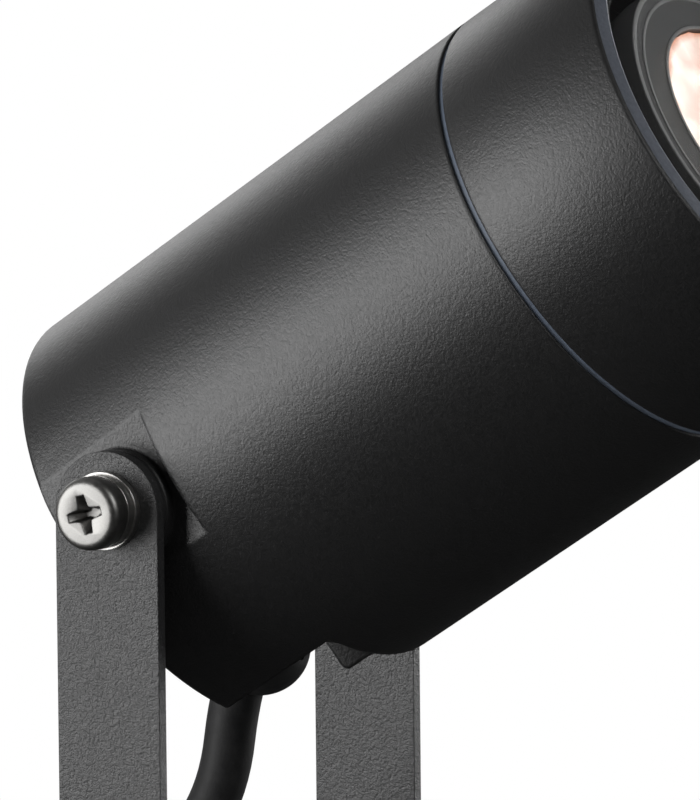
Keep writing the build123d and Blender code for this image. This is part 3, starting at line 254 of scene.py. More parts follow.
class Paint:
    """A named node material that is made once and reused."""

    name: str

    def surface(self, sheet: Wiring) -> bpy.types.NodeSocket:
        """Add the material's nodes and return its shader."""
        raise NotImplementedError

    def material(self) -> bpy.types.Material:
        """Build the material if it is new.

        Returns:
            The material.
        """
        known = bpy.data.materials.get(self.name)
        if known:
            return known
        sheet = sheet_for(self.name)
        sheet.close(self.surface(sheet))
        return sheet.owner


@dataclass(frozen=True)
class Grain:
    """A fine surface relief from two layers of noise.

    Attributes:
        coarse: Cells per metre of the larger layer.
        fine: Cells per metre of the smaller layer.
        depth: Height of the relief in metres.
        share: Part that the fine layer has in the height.
        edge: Radius in metres over which the finish softens an edge, 0 for none.
        edge_samples: Rays that the softening takes.
    """

    coarse: float
    fine: float
    depth: float
    share: float = 0.4
    edge: float = 0.0
    edge_samples: int = 6

    def wire(self, sheet: Wiring) -> tuple[bpy.types.NodeSocket, bpy.types.NodeSocket]:
        """Add the relief to a material.

        Args:
            sheet: The material's nodes.

        Returns:
            The bumped normal and the relief's height.
        """
        place = sheet.add("ShaderNodeTexCoord")
        blend = sheet.add("ShaderNodeMix", data_type="FLOAT")
        blend.inputs[0].default_value = self.share
        for scale, target in ((self.coarse, blend.inputs[2]), (self.fine, blend.inputs[3])):
            noise = sheet.add("ShaderNodeTexNoise", Scale=scale, Detail=2.0, Roughness=0.5)
            sheet.join(place.outputs["Object"], noise.inputs["Vector"])
            sheet.join(noise.outputs["Fac"], target)
        bump = sheet.add("ShaderNodeBump", Distance=self.depth)
        sheet.join(blend.outputs[0], bump.inputs["Height"])
        if self.edge:
            soft = sheet.add("ShaderNodeBevel", samples=self.edge_samples, Radius=self.edge)
            sheet.join(soft.outputs["Normal"], bump.inputs["Normal"])
        return bump.outputs["Normal"], blend.outputs[0]


@dataclass(frozen=True)
class Finish(Paint):
    """An opaque finish: a colour that varies a little, its sheen and its grain.

    Attributes:
        name: The material's name.
        colour: The main colour, linear.
        tint: The colour at the grain's peaks, linear.
        roughness: Roughness at the grain's low places and at its peaks.
        grain: The surface relief.
        metallic: 1 for bare metal, 0 for a coating or plastic.
        specular: Specular level.
    """

    name: str
    colour: Triple
    tint: Triple
    roughness: Pair
    grain: Grain
    metallic: float = 0.0
    specular: float = 0.5

    def surface(self, sheet: Wiring) -> bpy.types.NodeSocket:
        """Add the finish's nodes.

        Args:
            sheet: The material's nodes.

        Returns:
            The shader.
        """
        shader = sheet.add("ShaderNodeBsdfPrincipled", Metallic=self.metallic,
                           Specular_IOR_Level=self.specular)
        normal, height = self.grain.wire(sheet)
        tone = ramp(sheet, height, TONE_ENDS, (self.colour, self.tint))
        sheet.join(tone, shader.inputs["Base Color"])
        spread = sheet.add("ShaderNodeMapRange", From_Min=TONE_ENDS[0], From_Max=TONE_ENDS[1],
                           To_Min=self.roughness[0], To_Max=self.roughness[1])
        sheet.join(height, spread.inputs["Value"])
        sheet.join(spread.outputs["Result"], shader.inputs["Roughness"])
        sheet.join(normal, shader.inputs["Normal"])
        return shader.outputs["BSDF"]


@dataclass(frozen=True)
class ClearGlass(Paint):
    """Clear toughened glass, transparent to shadow rays.

    Attributes:
        name: The material's name.
        colour: Colour of its body, linear.
        roughness: Roughness.
        ior: Refractive index.
    """

    name: str = "clear_toughened_glass"
    colour: Triple = (0.96, 0.97, 0.967)
    roughness: float = 0.02
    ior: float = 1.5

    def surface(self, sheet: Wiring) -> bpy.types.NodeSocket:
        """Add the glass's nodes.

        Args:
            sheet: The material's nodes.

        Returns:
            The shader.
        """
        shader = sheet.add("ShaderNodeBsdfPrincipled", Roughness=self.roughness, IOR=self.ior,
                           Base_Color=rgba(*self.colour), Transmission_Weight=1.0)
        clear = sheet.add("ShaderNodeBsdfTransparent")
        return sheet.mix(sheet.rays("Is Shadow Ray"), shader.outputs["BSDF"],
                         clear.outputs["BSDF"])


@dataclass(frozen=True)
class GlowingLens(Paint):
    """The lamp's dimpled lens: frosted, lit from behind and warmer at its edge.

    Attributes:
        name: The material's name.
        bright: Colour of the dimples, linear.
        shade: Colour of the valleys between them, linear.
        edge: Colour at the rim, linear.
        warm_from: Share of the radius where the edge's colour starts.
        tone_ends: Distances in a dimple where bright ends and shade is reached.
        cell: Dimples per metre.
        roughness: Roughness.
        glow: Strength of its own light.
    """

    name: str = "dimpled_lamp_lens"
    bright: Triple = (1.0, 0.92, 0.85)
    shade: Triple = (0.8, 0.56, 0.48)
    edge: Triple = (0.62, 0.22, 0.1)
    warm_from: float = 0.91
    tone_ends: Pair = (0.25, 0.7)
    cell: float = 210.0
    roughness: float = 0.3
    glow: float = 0.66

    def surface(self, sheet: Wiring) -> bpy.types.NodeSocket:
        """Add the lens's nodes.

        Args:
            sheet: The material's nodes.

        Returns:
            The shader.
        """
        place = sheet.add("ShaderNodeTexCoord")
        radial = sheet.add("ShaderNodeVectorMath", operation="SUBTRACT")
        sheet.join(place.outputs["Object"], radial.inputs[0])
        radial.inputs[1].default_value = head_point(LAMP_STATION)
        span = sheet.add("ShaderNodeVectorMath", operation="LENGTH")
        sheet.join(radial.outputs["Vector"], span.inputs[0])
        radius = LENS_RADIUS * MM
        rim = sheet.add("ShaderNodeMapRange", From_Min=radius * self.warm_from, From_Max=radius)
        sheet.join(span.outputs["Value"], rim.inputs["Value"])
        cells = sheet.add("ShaderNodeTexVoronoi", feature="SMOOTH_F1", Scale=self.cell)
        sheet.join(place.outputs["Object"], cells.inputs["Vector"])
        tone = ramp(sheet, cells.outputs["Distance"], self.tone_ends, (self.bright, self.shade))
        warm = sheet.add("ShaderNodeMix", data_type="RGBA")
        sheet.join(rim.outputs["Result"], warm.inputs[0])
        sheet.join(tone, warm.inputs[6])
        warm.inputs[7].default_value = rgba(*self.edge)
        shader = sheet.add("ShaderNodeBsdfPrincipled", Roughness=self.roughness,
                           Emission_Strength=self.glow)
        for target in ("Base Color", "Emission Color"):
            sheet.join(warm.outputs[2], shader.inputs[target])
        return shader.outputs["BSDF"]


STEEL_GRAIN = Grain(1500.0, 6000.0, 0.000006, edge=0.0003)
POWDER_COAT = Finish("anthracite_powder_coat", (0.016, 0.016, 0.0165), (0.026, 0.026, 0.0265),
                     (0.4, 0.5), Grain(1600.0, 3800.0, 0.00026, share=0.45, edge=0.0003),
                     specular=0.72)
CAST_COAT = Finish("anthracite_cast_coat", (0.009, 0.009, 0.0093), (0.014, 0.014, 0.0143),
                   (0.4, 0.47), Grain(1500.0, 3200.0, 0.0001, share=0.45, edge=0.0008),
                   specular=0.66)
STAINLESS = Finish("dull_stainless", (0.2, 0.197, 0.19), (0.27, 0.266, 0.257), (0.38, 0.46),
                   STEEL_GRAIN, metallic=1.0)
WASHER_STEEL = Finish("washer_steel", (0.5, 0.49, 0.475), (0.6, 0.59, 0.57), (0.3, 0.38),
                      STEEL_GRAIN, metallic=1.0)
NICKEL = Finish("nickel_plate", (0.6, 0.58, 0.54), (0.7, 0.68, 0.64), (0.2, 0.28),
                Grain(900.0, 5000.0, 0.000005), metallic=1.0)
BRASS = Finish("turned_brass", (0.62, 0.44, 0.19), (0.74, 0.55, 0.26), (0.25, 0.4),
               Grain(900.0, 5000.0, 0.00001), metallic=1.0)
SILICONE = Finish("blue_grey_silicone", (0.1, 0.125, 0.17), (0.13, 0.16, 0.21), (0.5, 0.6),
                  Grain(1200.0, 4000.0, 0.00002))
RUBBER = Finish("black_cable_rubber", (0.011, 0.011, 0.0115), (0.02, 0.02, 0.0205),
                (0.55, 0.65), Grain(700.0, 2800.0, 0.00006), specular=0.3)
POLYAMIDE = Finish("black_moulded_polyamide", (0.014, 0.014, 0.0145), (0.022, 0.022, 0.0225),
                   (0.45, 0.58), Grain(1500.0, 4500.0, 0.00005), specular=0.35)
CERAMIC = Finish("steatite_ceramic", (0.74, 0.72, 0.66), (0.82, 0.8, 0.75), (0.4, 0.52),
                 Grain(600.0, 3000.0, 0.00003))
# The lamp shell is lighter grey itself; this dark grey is painted shade for the shade inside the
# head.
LAMP_SHELL = Finish("lamp_shell_painted_shade", (0.055, 0.055, 0.056), (0.075, 0.075, 0.076),
                    (0.5, 0.6), Grain(1500.0, 4000.0, 0.00004))
# The lip band's light blue-grey is a painted reflection on the front ring's face, not a colour of
# its own.
LIP_PAINTED_REFLECTION = Finish("blue_grey_lip_painted_reflection", (0.1, 0.112, 0.138), (0.14, 0.155, 0.185), (0.36, 0.46),
                  Grain(1500.0, 3500.0, 0.00006))
# The rim's ridges are lighter than the lamp shell as painted highlights on their edges, and
# darker than the shell's own light grey as painted shade.
RIM_PAINTED_HIGHLIGHT_AND_SHADE = Finish("rim_painted_highlight_and_shade", (0.15, 0.15, 0.15), (0.2, 0.2, 0.2), (0.35, 0.45),
                  Grain(1500.0, 4000.0, 0.00002))
BROWN_CORE = Finish("brown_core", (0.17, 0.06, 0.03), (0.22, 0.08, 0.04), (0.4, 0.5),
                    Grain(800.0, 3000.0, 0.00003))
WHITE_CORE = Finish("white_silicone_core", (0.76, 0.75, 0.71), (0.83, 0.82, 0.78),
                    (0.45, 0.55), Grain(800.0, 3000.0, 0.00003))
EARTH_CORE = Finish("green_and_yellow_core", (0.1, 0.35, 0.05), (0.75, 0.65, 0.06),
                    (0.4, 0.5), Grain(180.0, 3000.0, 0.00003))
GLASS = ClearGlass()
LENS = GlowingLens()


@dataclass
class Camera:
    """The camera at the photographed angle.

    Attributes:
        azimuth: Degrees round the object; 0 looks along +Y.
        elevation: Degrees above the horizon.
        roll: Degrees about the line of sight.
        distance: Metres from the tilt pivot.
        focal_pixels: Focal length in pixels of the picture's long side.
        long_side: Pixels of the long side.
        pivot_offset: Pixels from the tilt pivot to the picture's middle, right and up.
        sensor: Sensor width in millimetres, which is for the long side.
    """

    azimuth: float = 30.44
    elevation: float = 6.7
    roll: float = -0.64
    distance: float = 1.7
    focal_pixels: float = 10948.0
    long_side: float = 800.0
    pivot_offset: Pair = (110.07, 82.18)
    sensor: float = 36.0

    def place(self) -> None:
        """Make the camera and aim it."""
        turn, rise, roll = (math.radians(angle)
                            for angle in (self.azimuth, self.elevation, self.roll))
        back = Vector((math.sin(turn) * math.cos(rise), -math.cos(turn) * math.cos(rise),
                       math.sin(rise)))
        level = Vector((math.cos(turn), math.sin(turn), 0.0))
        upright = back.cross(level)
        right = level * math.cos(roll) + upright * math.sin(roll)
        up = back.cross(right)
        eye = PIVOT + back * self.distance
        across, above = (pixels / self.focal_pixels for pixels in self.pivot_offset)
        back = -(right * across + up * above - back).normalized()
        right = (right - back * right.dot(back)).normalized()
        up = back.cross(right)
        data = bpy.data.cameras.new("camera")
        data.sensor_width = self.sensor
        data.lens = self.focal_pixels * self.sensor / self.long_side
        camera = bpy.data.objects.new("camera", data)
        bpy.context.scene.collection.objects.link(camera)
        pose = Matrix((right, up, back)).transposed().to_4x4()
        pose.translation = eye
        camera.matrix_world = pose
        bpy.context.scene.camera = camera


def model(build: str, **values: object) -> bpy.types.Object:
    """Add a mesh primitive with nothing else selected.

    Args:
        build: The primitive's operator name, without its "_add".
        values: The operator's values.

    Returns:
        The new object.
    """
    bpy.ops.object.select_all(action="DESELECT")
    getattr(bpy.ops.mesh, build + "_add")(**values)
    return bpy.context.active_object


def pick(*pieces: bpy.types.Object) -> None:
    """Select nothing but the given objects, and make the first one active.

    Args:
        pieces: The objects.
    """
    bpy.ops.object.select_all(action="DESELECT")
    for piece in pieces:
        piece.select_set(True)
    bpy.context.view_layer.objects.active = pieces[0]


def choose(piece: bpy.types.Object, mode: str, test: Callable[[Vector, Vector], bool]) -> None:
    """Select a mesh's faces, edges or points by a test, and enter edit mode.

    Args:
        piece: The mesh object.
        mode: "FACE", "EDGE" or "VERT".
        test: Called with the middle and a face's normal, an edge's run or a point's normal.
    """
    bpy.ops.object.mode_set(mode="EDIT")
    bpy.ops.mesh.select_mode(type=mode)
    bpy.ops.mesh.select_all(action="DESELECT")
    bpy.ops.object.mode_set(mode="OBJECT")
    mesh = piece.data
    if mode == "FACE":
        for face in mesh.polygons:
            face.select = bool(test(face.center, face.normal))
    elif mode == "EDGE":
        for edge in mesh.edges:
            start, end = (mesh.vertices[index].co for index in edge.vertices)
            edge.select = bool(test((start + end) / 2, end - start))
    else:
        for point in mesh.vertices:
            point.select = bool(test(point.co, point.normal))
    bpy.ops.object.mode_set(mode="EDIT")


def finish_modifier(piece: bpy.types.Object, kind: str, **values: object) -> None:
    """Add a modifier and apply it.

    Args:
        piece: The mesh object.
        kind: The modifier's type.
        values: The modifier's properties.
    """
    pick(piece)
    modifier = piece.modifiers.new(kind.lower(), kind)
    for key, value in values.items():
        setattr(modifier, key, value)
    bpy.ops.object.modifier_apply(modifier=modifier.name)


def round_edges(piece: bpy.types.Object, width: float, segments: int,
                angle: float = SHARP) -> None:
    """Round the sharp edges of a piece.

    Args:
        piece: The mesh object.
        width: Width of the rounding in millimetres.
        segments: Facets across it.
        angle: Edges sharper than this are rounded, in radians.
    """
    finish_modifier(piece, "BEVEL", width=width * MM, segments=segments,
                    limit_method="ANGLE", angle_limit=angle)


def settle(piece: bpy.types.Object, place: Matrix, angle: float = 30.0) -> None:
    """Move a piece to its place in its mesh and shade it smooth by angle.

    Args:
        piece: The mesh object.
        place: Its place in the frame.
        angle: Edges sharper than this stay crisp, in degrees.
    """
    piece.matrix_world = place @ piece.matrix_world
    pick(piece)
    bpy.ops.object.transform_apply(location=True, rotation=True, scale=True)
    bpy.ops.object.shade_smooth_by_angle(angle=math.radians(angle))


def unite(pieces: list[bpy.types.Object]) -> bpy.types.Object:
    """Join loose parts into one object.

    Args:
        pieces: The parts.

    Returns:
        The object.
    """
    pick(*pieces)
    bpy.ops.object.join()
    return bpy.context.active_object


def axes(origin: Vector, out: Vector, first: Vector) -> Matrix:
    """Make a place from two directions.

    Args:
        origin: Where it is, in metres.
        out: The direction of its Z.
        first: The direction of its X.

    Returns:
        The place.
    """
    second = out.cross(first)
    place = Matrix((first, second, out)).transposed().to_4x4()
    place.translation = origin
    return place


def lathe(profile: list[Pair], steps: int) -> bpy.types.Object:
    """Spin a closed profile about the Z axis.

    Args:
        profile: Radius and height of its corners in millimetres, in order.
        steps: Facets round the axis.

    Returns:
        The closed ring.
    """
    ring = model("primitive_circle", vertices=len(profile), radius=0.01, fill_type="NOTHING")
    for point, (radius, height) in zip(ring.data.vertices, profile):
        point.co = Vector((radius, 0.0, height)) * MM
    bpy.ops.object.mode_set(mode="EDIT")
    bpy.ops.mesh.select_all(action="SELECT")
    bpy.ops.mesh.spin(steps=steps, angle=2 * math.pi, center=(0.0, 0.0, 0.0),
                      axis=(0.0, 0.0, 1.0))
    bpy.ops.mesh.select_all(action="SELECT")
    bpy.ops.mesh.remove_doubles(threshold=1e-6)
    bpy.ops.mesh.normals_make_consistent(inside=False)
    bpy.ops.object.mode_set(mode="OBJECT")
    return ring


def declare(piece: bpy.types.Object, name: str, paint: Paint, slot: Slot, body: Body | None,
            *replaced: str) -> None:
    """Args:
        piece: The mesh object.
        name: Its name.
        paint: Its finish.
        slot: Its material slot in the record; not used.
        body: The body it rides on, or None for none.
        replaced: The CAD nodes that it replaces.
    """
    piece.name = name
    piece.data.materials.clear()
    piece.data.materials.append(paint.material())
    if replaced:
        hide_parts(*replaced)
    if body:
        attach(piece, body.value)
    LOG.info("%s: %d faces", name, len(piece.data.polygons))


@dataclass
class PivotScrews:
    """The two pan head screws of the tilt pivot, with their pressed cross recesses.

    Attributes:
        seat: Distance of the heads' undersides from the head's middle, in millimetres.
        radius: Radius of a head.
        height: Height of a head.
        rounding: Rounding of its rim.
        rim_segments: Facets across that rounding.
        facets: Facets round a head.
        edge: Rounding of the remaining edges.
        shank: Radius and length of the shank.
        wing: Half length and half width of the recess's wings, and half width at the tips.
        depth: Depth of the recess.
        overshoot: How far the cutting solid stands out of the head.
        corner: Rounding of the corners between two wings.
        foot: Size of the recess's bottom as a share of its mouth.
        turn: Turn of the recess against the head's axis, in degrees.
    """

    seat: float = 43.05
    radius: float = 5.6
    height: float = 3.6
    rounding: float = 1.25
    rim_segments: int = 6
    facets: int = 64
    edge: float = 0.12
    shank: Pair = (3.0, 16.0)
    wing: Triple = (3.05, 0.95, 0.68)
    depth: float = 3.2
    overshoot: float = 0.2
    corner: float = 0.4
    foot: float = 0.55
    turn: float = -18.2

    def cutter(self) -> bpy.types.Object:
        """Model the solid that presses the recess, point down from the head's top.

        Returns:
            The solid.
        """
        reach, half, tip = (value * MM for value in self.wing)
        top, deep = (self.height + self.overshoot) * MM, (self.height - self.depth) * MM
        cross = model("primitive_cube", size=1.0, location=(0.0, 0.0, (top + deep) / 2))
        cross.scale = (2 * half, 2 * half, top - deep)
        bpy.ops.object.transform_apply(location=True, rotation=True, scale=True)
        for way in (Vector((1, 0, 0)), Vector((-1, 0, 0)), Vector((0, 1, 0)), Vector((0, -1, 0))):
            across = Vector((way.y, way.x, 0.0))
            choose(cross, "FACE", lambda middle, normal, way=way, across=across:
                   normal.dot(way) > FACING and abs(middle.dot(across)) < 0.2 * half)
            bpy.ops.mesh.extrude_region_move(
                TRANSFORM_OT_translate={"value": way * (reach - half)})
            narrow = tip / half
            size = (1.0, narrow, 1.0) if way.x else (narrow, 1.0, 1.0)
            bpy.ops.transform.resize(value=size)
            bpy.ops.object.mode_set(mode="OBJECT")
        choose(cross, "EDGE", lambda middle, run: abs(run.z) > 0.5 * (top - deep)
               and math.hypot(middle.x, middle.y) < 1.6 * half)
        bpy.ops.mesh.bevel(offset=self.corner * MM, segments=3)
        bpy.ops.object.mode_set(mode="OBJECT")
        choose(cross, "VERT", lambda middle, normal: middle.z < (top + deep) / 2)
        bpy.ops.transform.resize(value=(self.foot, self.foot, 1.0))
        bpy.ops.object.mode_set(mode="OBJECT")
        return cross

    def screw(self) -> bpy.types.Object:
        """Model one screw at the origin with its head up.

        Returns:
            The screw.
        """
        height = self.height * MM
        head = model("primitive_cylinder", vertices=self.facets, radius=self.radius * MM,
                     depth=height, location=(0.0, 0.0, height / 2))
        bpy.ops.object.transform_apply(location=True, rotation=True, scale=True)
        choose(head, "EDGE", lambda middle, run: middle.z > 0.99 * height)
        bpy.ops.mesh.bevel(offset=self.rounding * MM, segments=self.rim_segments)
        bpy.ops.object.mode_set(mode="OBJECT")
        cross = self.cutter()
        finish_modifier(head, "BOOLEAN", operation="DIFFERENCE", object=cross, solver="EXACT")
        bpy.data.objects.remove(cross)
        choose(head, "FACE", lambda middle, normal: normal.z < -FACING
               and middle.z < 0.1 * MM)
        radius, length = self.shank
        bpy.ops.mesh.inset(thickness=(self.radius - radius) * MM)
        bpy.ops.mesh.extrude_region_move(
            TRANSFORM_OT_translate={"value": (0.0, 0.0, -length * MM)})
        bpy.ops.object.mode_set(mode="OBJECT")
        round_edges(head, self.edge, 2)
        return head

    def build(self) -> None:
        turned = Matrix.Rotation(math.radians(self.turn), 4, "Z")
        screws = []
        for out in (-SIDE, SIDE):
            screw = self.screw()
            settle(screw, axes(PIVOT + out * self.seat * MM, out, AIM) @ turned)
            screws.append(screw)
        declare(unite(screws), "pivot_screw_pair", STAINLESS, Slot.STAINLESS, Body.HEAD,
                "pivot_screws")


@dataclass
class FrontRing:
    """The screwed front ring with rounded edges, and a blue-grey band on its lip whose light
    colour is a painted reflection on the ring's front face.

    Attributes:
        front: Station of the ring's front plane, in millimetres.
        length: Length of the ring.
        radius: Outer radius.
        bore: Radius of the bore.
        lip: Radius of the opening in front of the glass.
        lip_depth: Thickness of the lip.
        rounding: Rounding of the ring's edges.
        band: Inner and outer radius of the band.
        bead: Height of the bead at the band's inner edge.
        bead_crown: Distance of the bead's crown from the inner edge.
        bead_foot: Distance of its foot from there.
        band_root: How deep the band sits in the lip.
        band_rounding: Rounding of the band's edges.
        band_sharp: Edges of the band sharper than this are rounded, in degrees.
        facets: Facets round the ring.
    """

    front: float = 109.2
    length: float = 30.4
    radius: float = 37.5
    bore: float = 35.06
    lip: float = 33.5
    lip_depth: float = 0.9
    rounding: float = 0.35
    band: Pair = (33.8, 36.75)
    bead: float = 0.34
    bead_crown: float = 0.45
    bead_foot: float = 0.9
    band_root: float = 0.1
    band_rounding: float = 0.1
    band_sharp: float = 20.0
    facets: int = 192

    def build(self) -> None:
        place = axes(head_point(self.front), AIM, SIDE)
        ring = lathe([(self.radius, -self.length), (self.radius, 0.0), (self.lip, 0.0),
                      (self.lip, -self.lip_depth), (self.bore, -self.lip_depth),
                      (self.bore, -self.length)], self.facets)
        round_edges(ring, self.rounding, 3)
        inner, outer = self.band
        band = lathe([(outer, -self.band_root), (outer, 0.12 * self.bead),
                      (inner + self.bead_foot, 0.6 * self.bead),
                      (inner + self.bead_crown, self.bead), (inner, 0.5 * self.bead),
                      (inner, -self.band_root)], self.facets)
        round_edges(band, self.band_rounding, 2, math.radians(self.band_sharp))
        for piece in (ring, band):
            settle(piece, place)
        declare(ring, "front_ring", CAST_COAT, Slot.COAT, Body.BEZEL, "front_bezel")
        # The band's light blue-grey paints the reflection on the ring's front face.
        declare(band, "lip_band_painted_reflection", LIP_PAINTED_REFLECTION, Slot.SEAL, Body.BEZEL)


@dataclass
class LampFront:
    """The face of the reflector lamp: its stepped rim and its dimpled lens.

    Attributes:
        ridges: Inner radius, outer radius and height of the fine ridges on the rim.
        ridge_facets: Facets round a ridge.
        ridge_rounding: Rounding of a ridge's edges as a share of its height.
        lens_facets: Facets round the lens.
        lens_cuts: Cuts across each of the lens's first triangles.
        lens_thickness: Thickness of the lens in millimetres.
        dimple_size: Size of a dimple in metres.
        dimple_depth: Depth of a dimple in metres.
    """

    ridges: tuple[Triple, ...] = ((24.4, 25.2, 0.25), (22.4, 22.9, 0.15), (17.25, 17.8, 0.22))
    ridge_facets: int = 128
    ridge_rounding: float = 0.3
    lens_facets: int = 48
    lens_cuts: int = 20
    lens_thickness: float = 0.8
    dimple_size: float = 0.0042
    dimple_depth: float = 0.0011

    def rim(self, place: Matrix) -> None:
        """Args:
            place: The middle of the lamp's front plane.
        """
        rings = []
        for inner, outer, height in self.ridges:
            ring = lathe([(outer, 0.0), (outer, height), (inner, height), (inner, 0.0)],
                         self.ridge_facets)
            round_edges(ring, self.ridge_rounding * height, 2)
            rings.append(ring)
        for ring in rings:
            settle(ring, place)
        # The ridges' grey carries painted highlights on their edges and painted shade.
        declare(unite(rings), "lamp_rim_ridges", RIM_PAINTED_HIGHLIGHT_AND_SHADE, Slot.LAMP_SHELL, Body.LAMP)

    def lens(self, place: Matrix) -> None:
        """Args:
            place: The middle of the lamp's front plane.
        """
        lens = model("primitive_circle", vertices=self.lens_facets, radius=LENS_RADIUS * MM,
                     fill_type="TRIFAN")
        bpy.ops.object.mode_set(mode="EDIT")
        bpy.ops.mesh.select_all(action="SELECT")
        bpy.ops.mesh.subdivide(number_cuts=self.lens_cuts)
        bpy.ops.object.mode_set(mode="OBJECT")
        dimples = bpy.data.textures.new("lens_dimples", "VORONOI")
        dimples.noise_scale = self.dimple_size
        dimples.noise_intensity = 1.0
        finish_modifier(lens, "DISPLACE", texture=dimples, texture_coords="LOCAL",
                        direction="Z", strength=-self.dimple_depth, mid_level=0.0)
        finish_modifier(lens, "SMOOTH", iterations=2, factor=0.5)
        finish_modifier(lens, "SOLIDIFY", thickness=self.lens_thickness * MM, offset=-1.0)
        settle(lens, place, 60.0)
        declare(lens, "dimpled_lens", LENS, Slot.GLASS, Body.LAMP, "lamp_lens")

    def build(self) -> None:
        """Model the rim's ridges and the lens."""
        place = axes(head_point(LAMP_STATION), AIM, SIDE)
        self.rim(place)
        self.lens(place)


@dataclass
class PowerCable:
    """The free cable from the gland to the floor, its put-away coil and its run to the plug.

    Attributes:
        diameter: Cable diameter in metres.
        length: Length of the free cable in metres, from the gland to the plug; not used.
        exit_depth: Distance of the cable's start inside the gland, in millimetres.
        exit_run: Distance that it goes straight on outside the gland, in millimetres.
        drop: Route from the gland to the coil, in millimetres.
        tail: Route from the coil to the plug, in millimetres.
        coil_centre: Middle of the coil on the floor, in millimetres.
        coil_radius: Radius of the outermost turn's centreline, in millimetres.
        turn_pitch: Distance between turns beside each other.
        layer_pitch: Distance between the two layers.
        turns: Turns of the coil, half of them in each layer.
        climb_turns: Turns over which the cable climbs from one layer to the other.
        points_a_turn: Route points in one turn.
        steps_a_point: Steps of the smooth line between two route points.
        sides: Facets round the tube.
        bend_from: Place in metres from where on the cable would turn with the head; not used.
        bend_to: Place in metres from where on it would follow the head fully; not used.
    """

    diameter: float = 0.008
    length: float = 1.459
    exit_depth: float = 4.0
    exit_run: float = 3.0
    coil_centre: Triple = (-105.0, 51.0, 4.0)
    coil_radius: float = 42.0
    turn_pitch: float = 8.9
    layer_pitch: float = 8.7
    turns: float = 5.5
    climb_turns: float = 0.5
    points_a_turn: int = 16
    steps_a_point: int = 6
    sides: int = 20
    bend_from: Triple = (-0.006, 0.001, 0.185)
    bend_to: Triple = (-0.0026, 0.0, 0.2225)
    drop: list[Triple] = field(default_factory=lambda: [
        (-3.2, 0.0, 204.5), (-8.4, 0.15, 195.2), (-16.8, 0.4, 184.5), (-30.5, 1.0, 160.0),
        (-34.0, 2.5, 118.0), (-31.5, 3.6, 78.0), (-33.5, 4.6, 47.0), (-43.0, 6.2, 25.0),
        (-60.0, 8.0, 9.8), (-80.0, 9.0, 4.0), (-97.0, 9.0, 4.0)])
    tail: list[Triple] = field(default_factory=lambda: [
        (-97.0, 93.0, 12.7), (-82.0, 93.0, 12.7), (-62.0, 94.0, 7.2), (-40.0, 96.5, 4.1),
        (-18.0, 97.2, 4.8), (4.0, 95.4, 11.0), (25.0, 92.0, 19.0), (44.0, 92.0, 19.0)])

    def coil(self) -> list[Vector]:
        """Lay out the coil.

        Returns:
            Its control points in millimetres.
        """
        centre = Vector(self.coil_centre)
        # A smooth line of order 3 runs this far inside the ring of its control points.
        inside = 0.75 + 0.25 * math.cos(2 * math.pi / self.points_a_turn)
        half, climb = self.turns / 2, self.climb_turns
        points = []
        for step in range(int(self.turns * self.points_a_turn) + 1):
            done = step / self.points_a_turn
            angle = -math.pi / 2 - 2 * math.pi * done
            ring = self.coil_radius - self.turn_pitch * (half - abs(done - half))
            climbed = min(max(done - half + climb / 2, 0.0), climb) / climb
            points.append(centre + Vector((math.cos(angle) * ring / inside,
                                           math.sin(angle) * ring / inside,
                                           self.layer_pitch * climbed)))
        return points

    def route(self) -> list[Vector]:
        """Lay out the whole cable.

        Returns:
            Its control points in metres.
        """
        free = [Vector(point) for point in self.drop] + self.coil()
        free += [Vector(point) for point in self.tail]
        return [gland_point(self.exit_depth), gland_point(-self.exit_run),
                *(point * MM for point in free)]

    def smooth_mesh(self, name: str, radius: float) -> bpy.types.Mesh:
        """Make a mesh along the route.

        Args:
            name: The name of the curve that it is made from.
            radius: Radius of the tube in metres, or 0 for the bare line.

        Returns:
            The mesh.
        """
        data = bpy.data.curves.new(name, "CURVE")
        data.dimensions = "3D"
        data.resolution_u = self.steps_a_point
        data.bevel_depth = radius
        data.bevel_resolution = self.sides // 4 - 1
        line = data.splines.new("NURBS")
        points = self.route()
        line.points.add(len(points) - 1)
        for slot, point in zip(line.points, points):
            slot.co = (*point, 1.0)
        line.order_u = 3
        line.use_endpoint_u = True
        curve = bpy.data.objects.new(name, data)
        bpy.context.scene.collection.objects.link(curve)
        graph = bpy.context.evaluated_depsgraph_get()
        mesh = bpy.data.meshes.new_from_object(curve.evaluated_get(graph))
        bpy.data.objects.remove(curve)
        return mesh

    def build(self, frame: dict) -> None:
        path = [tuple(point.co) for point in self.smooth_mesh("cable_route", 0.0).vertices]
        mesh = self.smooth_mesh("power_cable", self.diameter / 2)
        for face in mesh.polygons:
            face.use_smooth = True
        cable = bpy.data.objects.new("power_cable", mesh)
        bpy.context.scene.collection.objects.link(cable)
        declare(cable, "power_cable", RUBBER, Slot.BLACK_RUBBER, None,
                "cable_drop", "cable_coil", "cable_end")
        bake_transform(cable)


@dataclass(frozen=True)
class Softbox:
    """A soft square lamp that faces the head.

    Attributes:
        name: The lamp's name.
        way: Its direction from the pivot.
        distance: Its distance from the pivot in metres.
        side: Its side in metres.
        power: Its power in watts.
    """

    name: str
    way: Triple
    distance: float
    side: float
    power: float

    def place(self) -> None:
        """Make the lamp and turn it to the pivot."""
        data = bpy.data.lights.new(self.name, "AREA")
        data.shape = "RECTANGLE"
        data.size = data.size_y = self.side
        data.energy = self.power
        lamp = bpy.data.objects.new(self.name, data)
        toward = Vector(self.way).normalized()
        lamp.location = PIVOT + toward * self.distance
        lamp.rotation_mode = "QUATERNION"
        lamp.rotation_quaternion = (-toward).to_track_quat("-Z", "Y")
        bpy.context.scene.collection.objects.link(lamp)


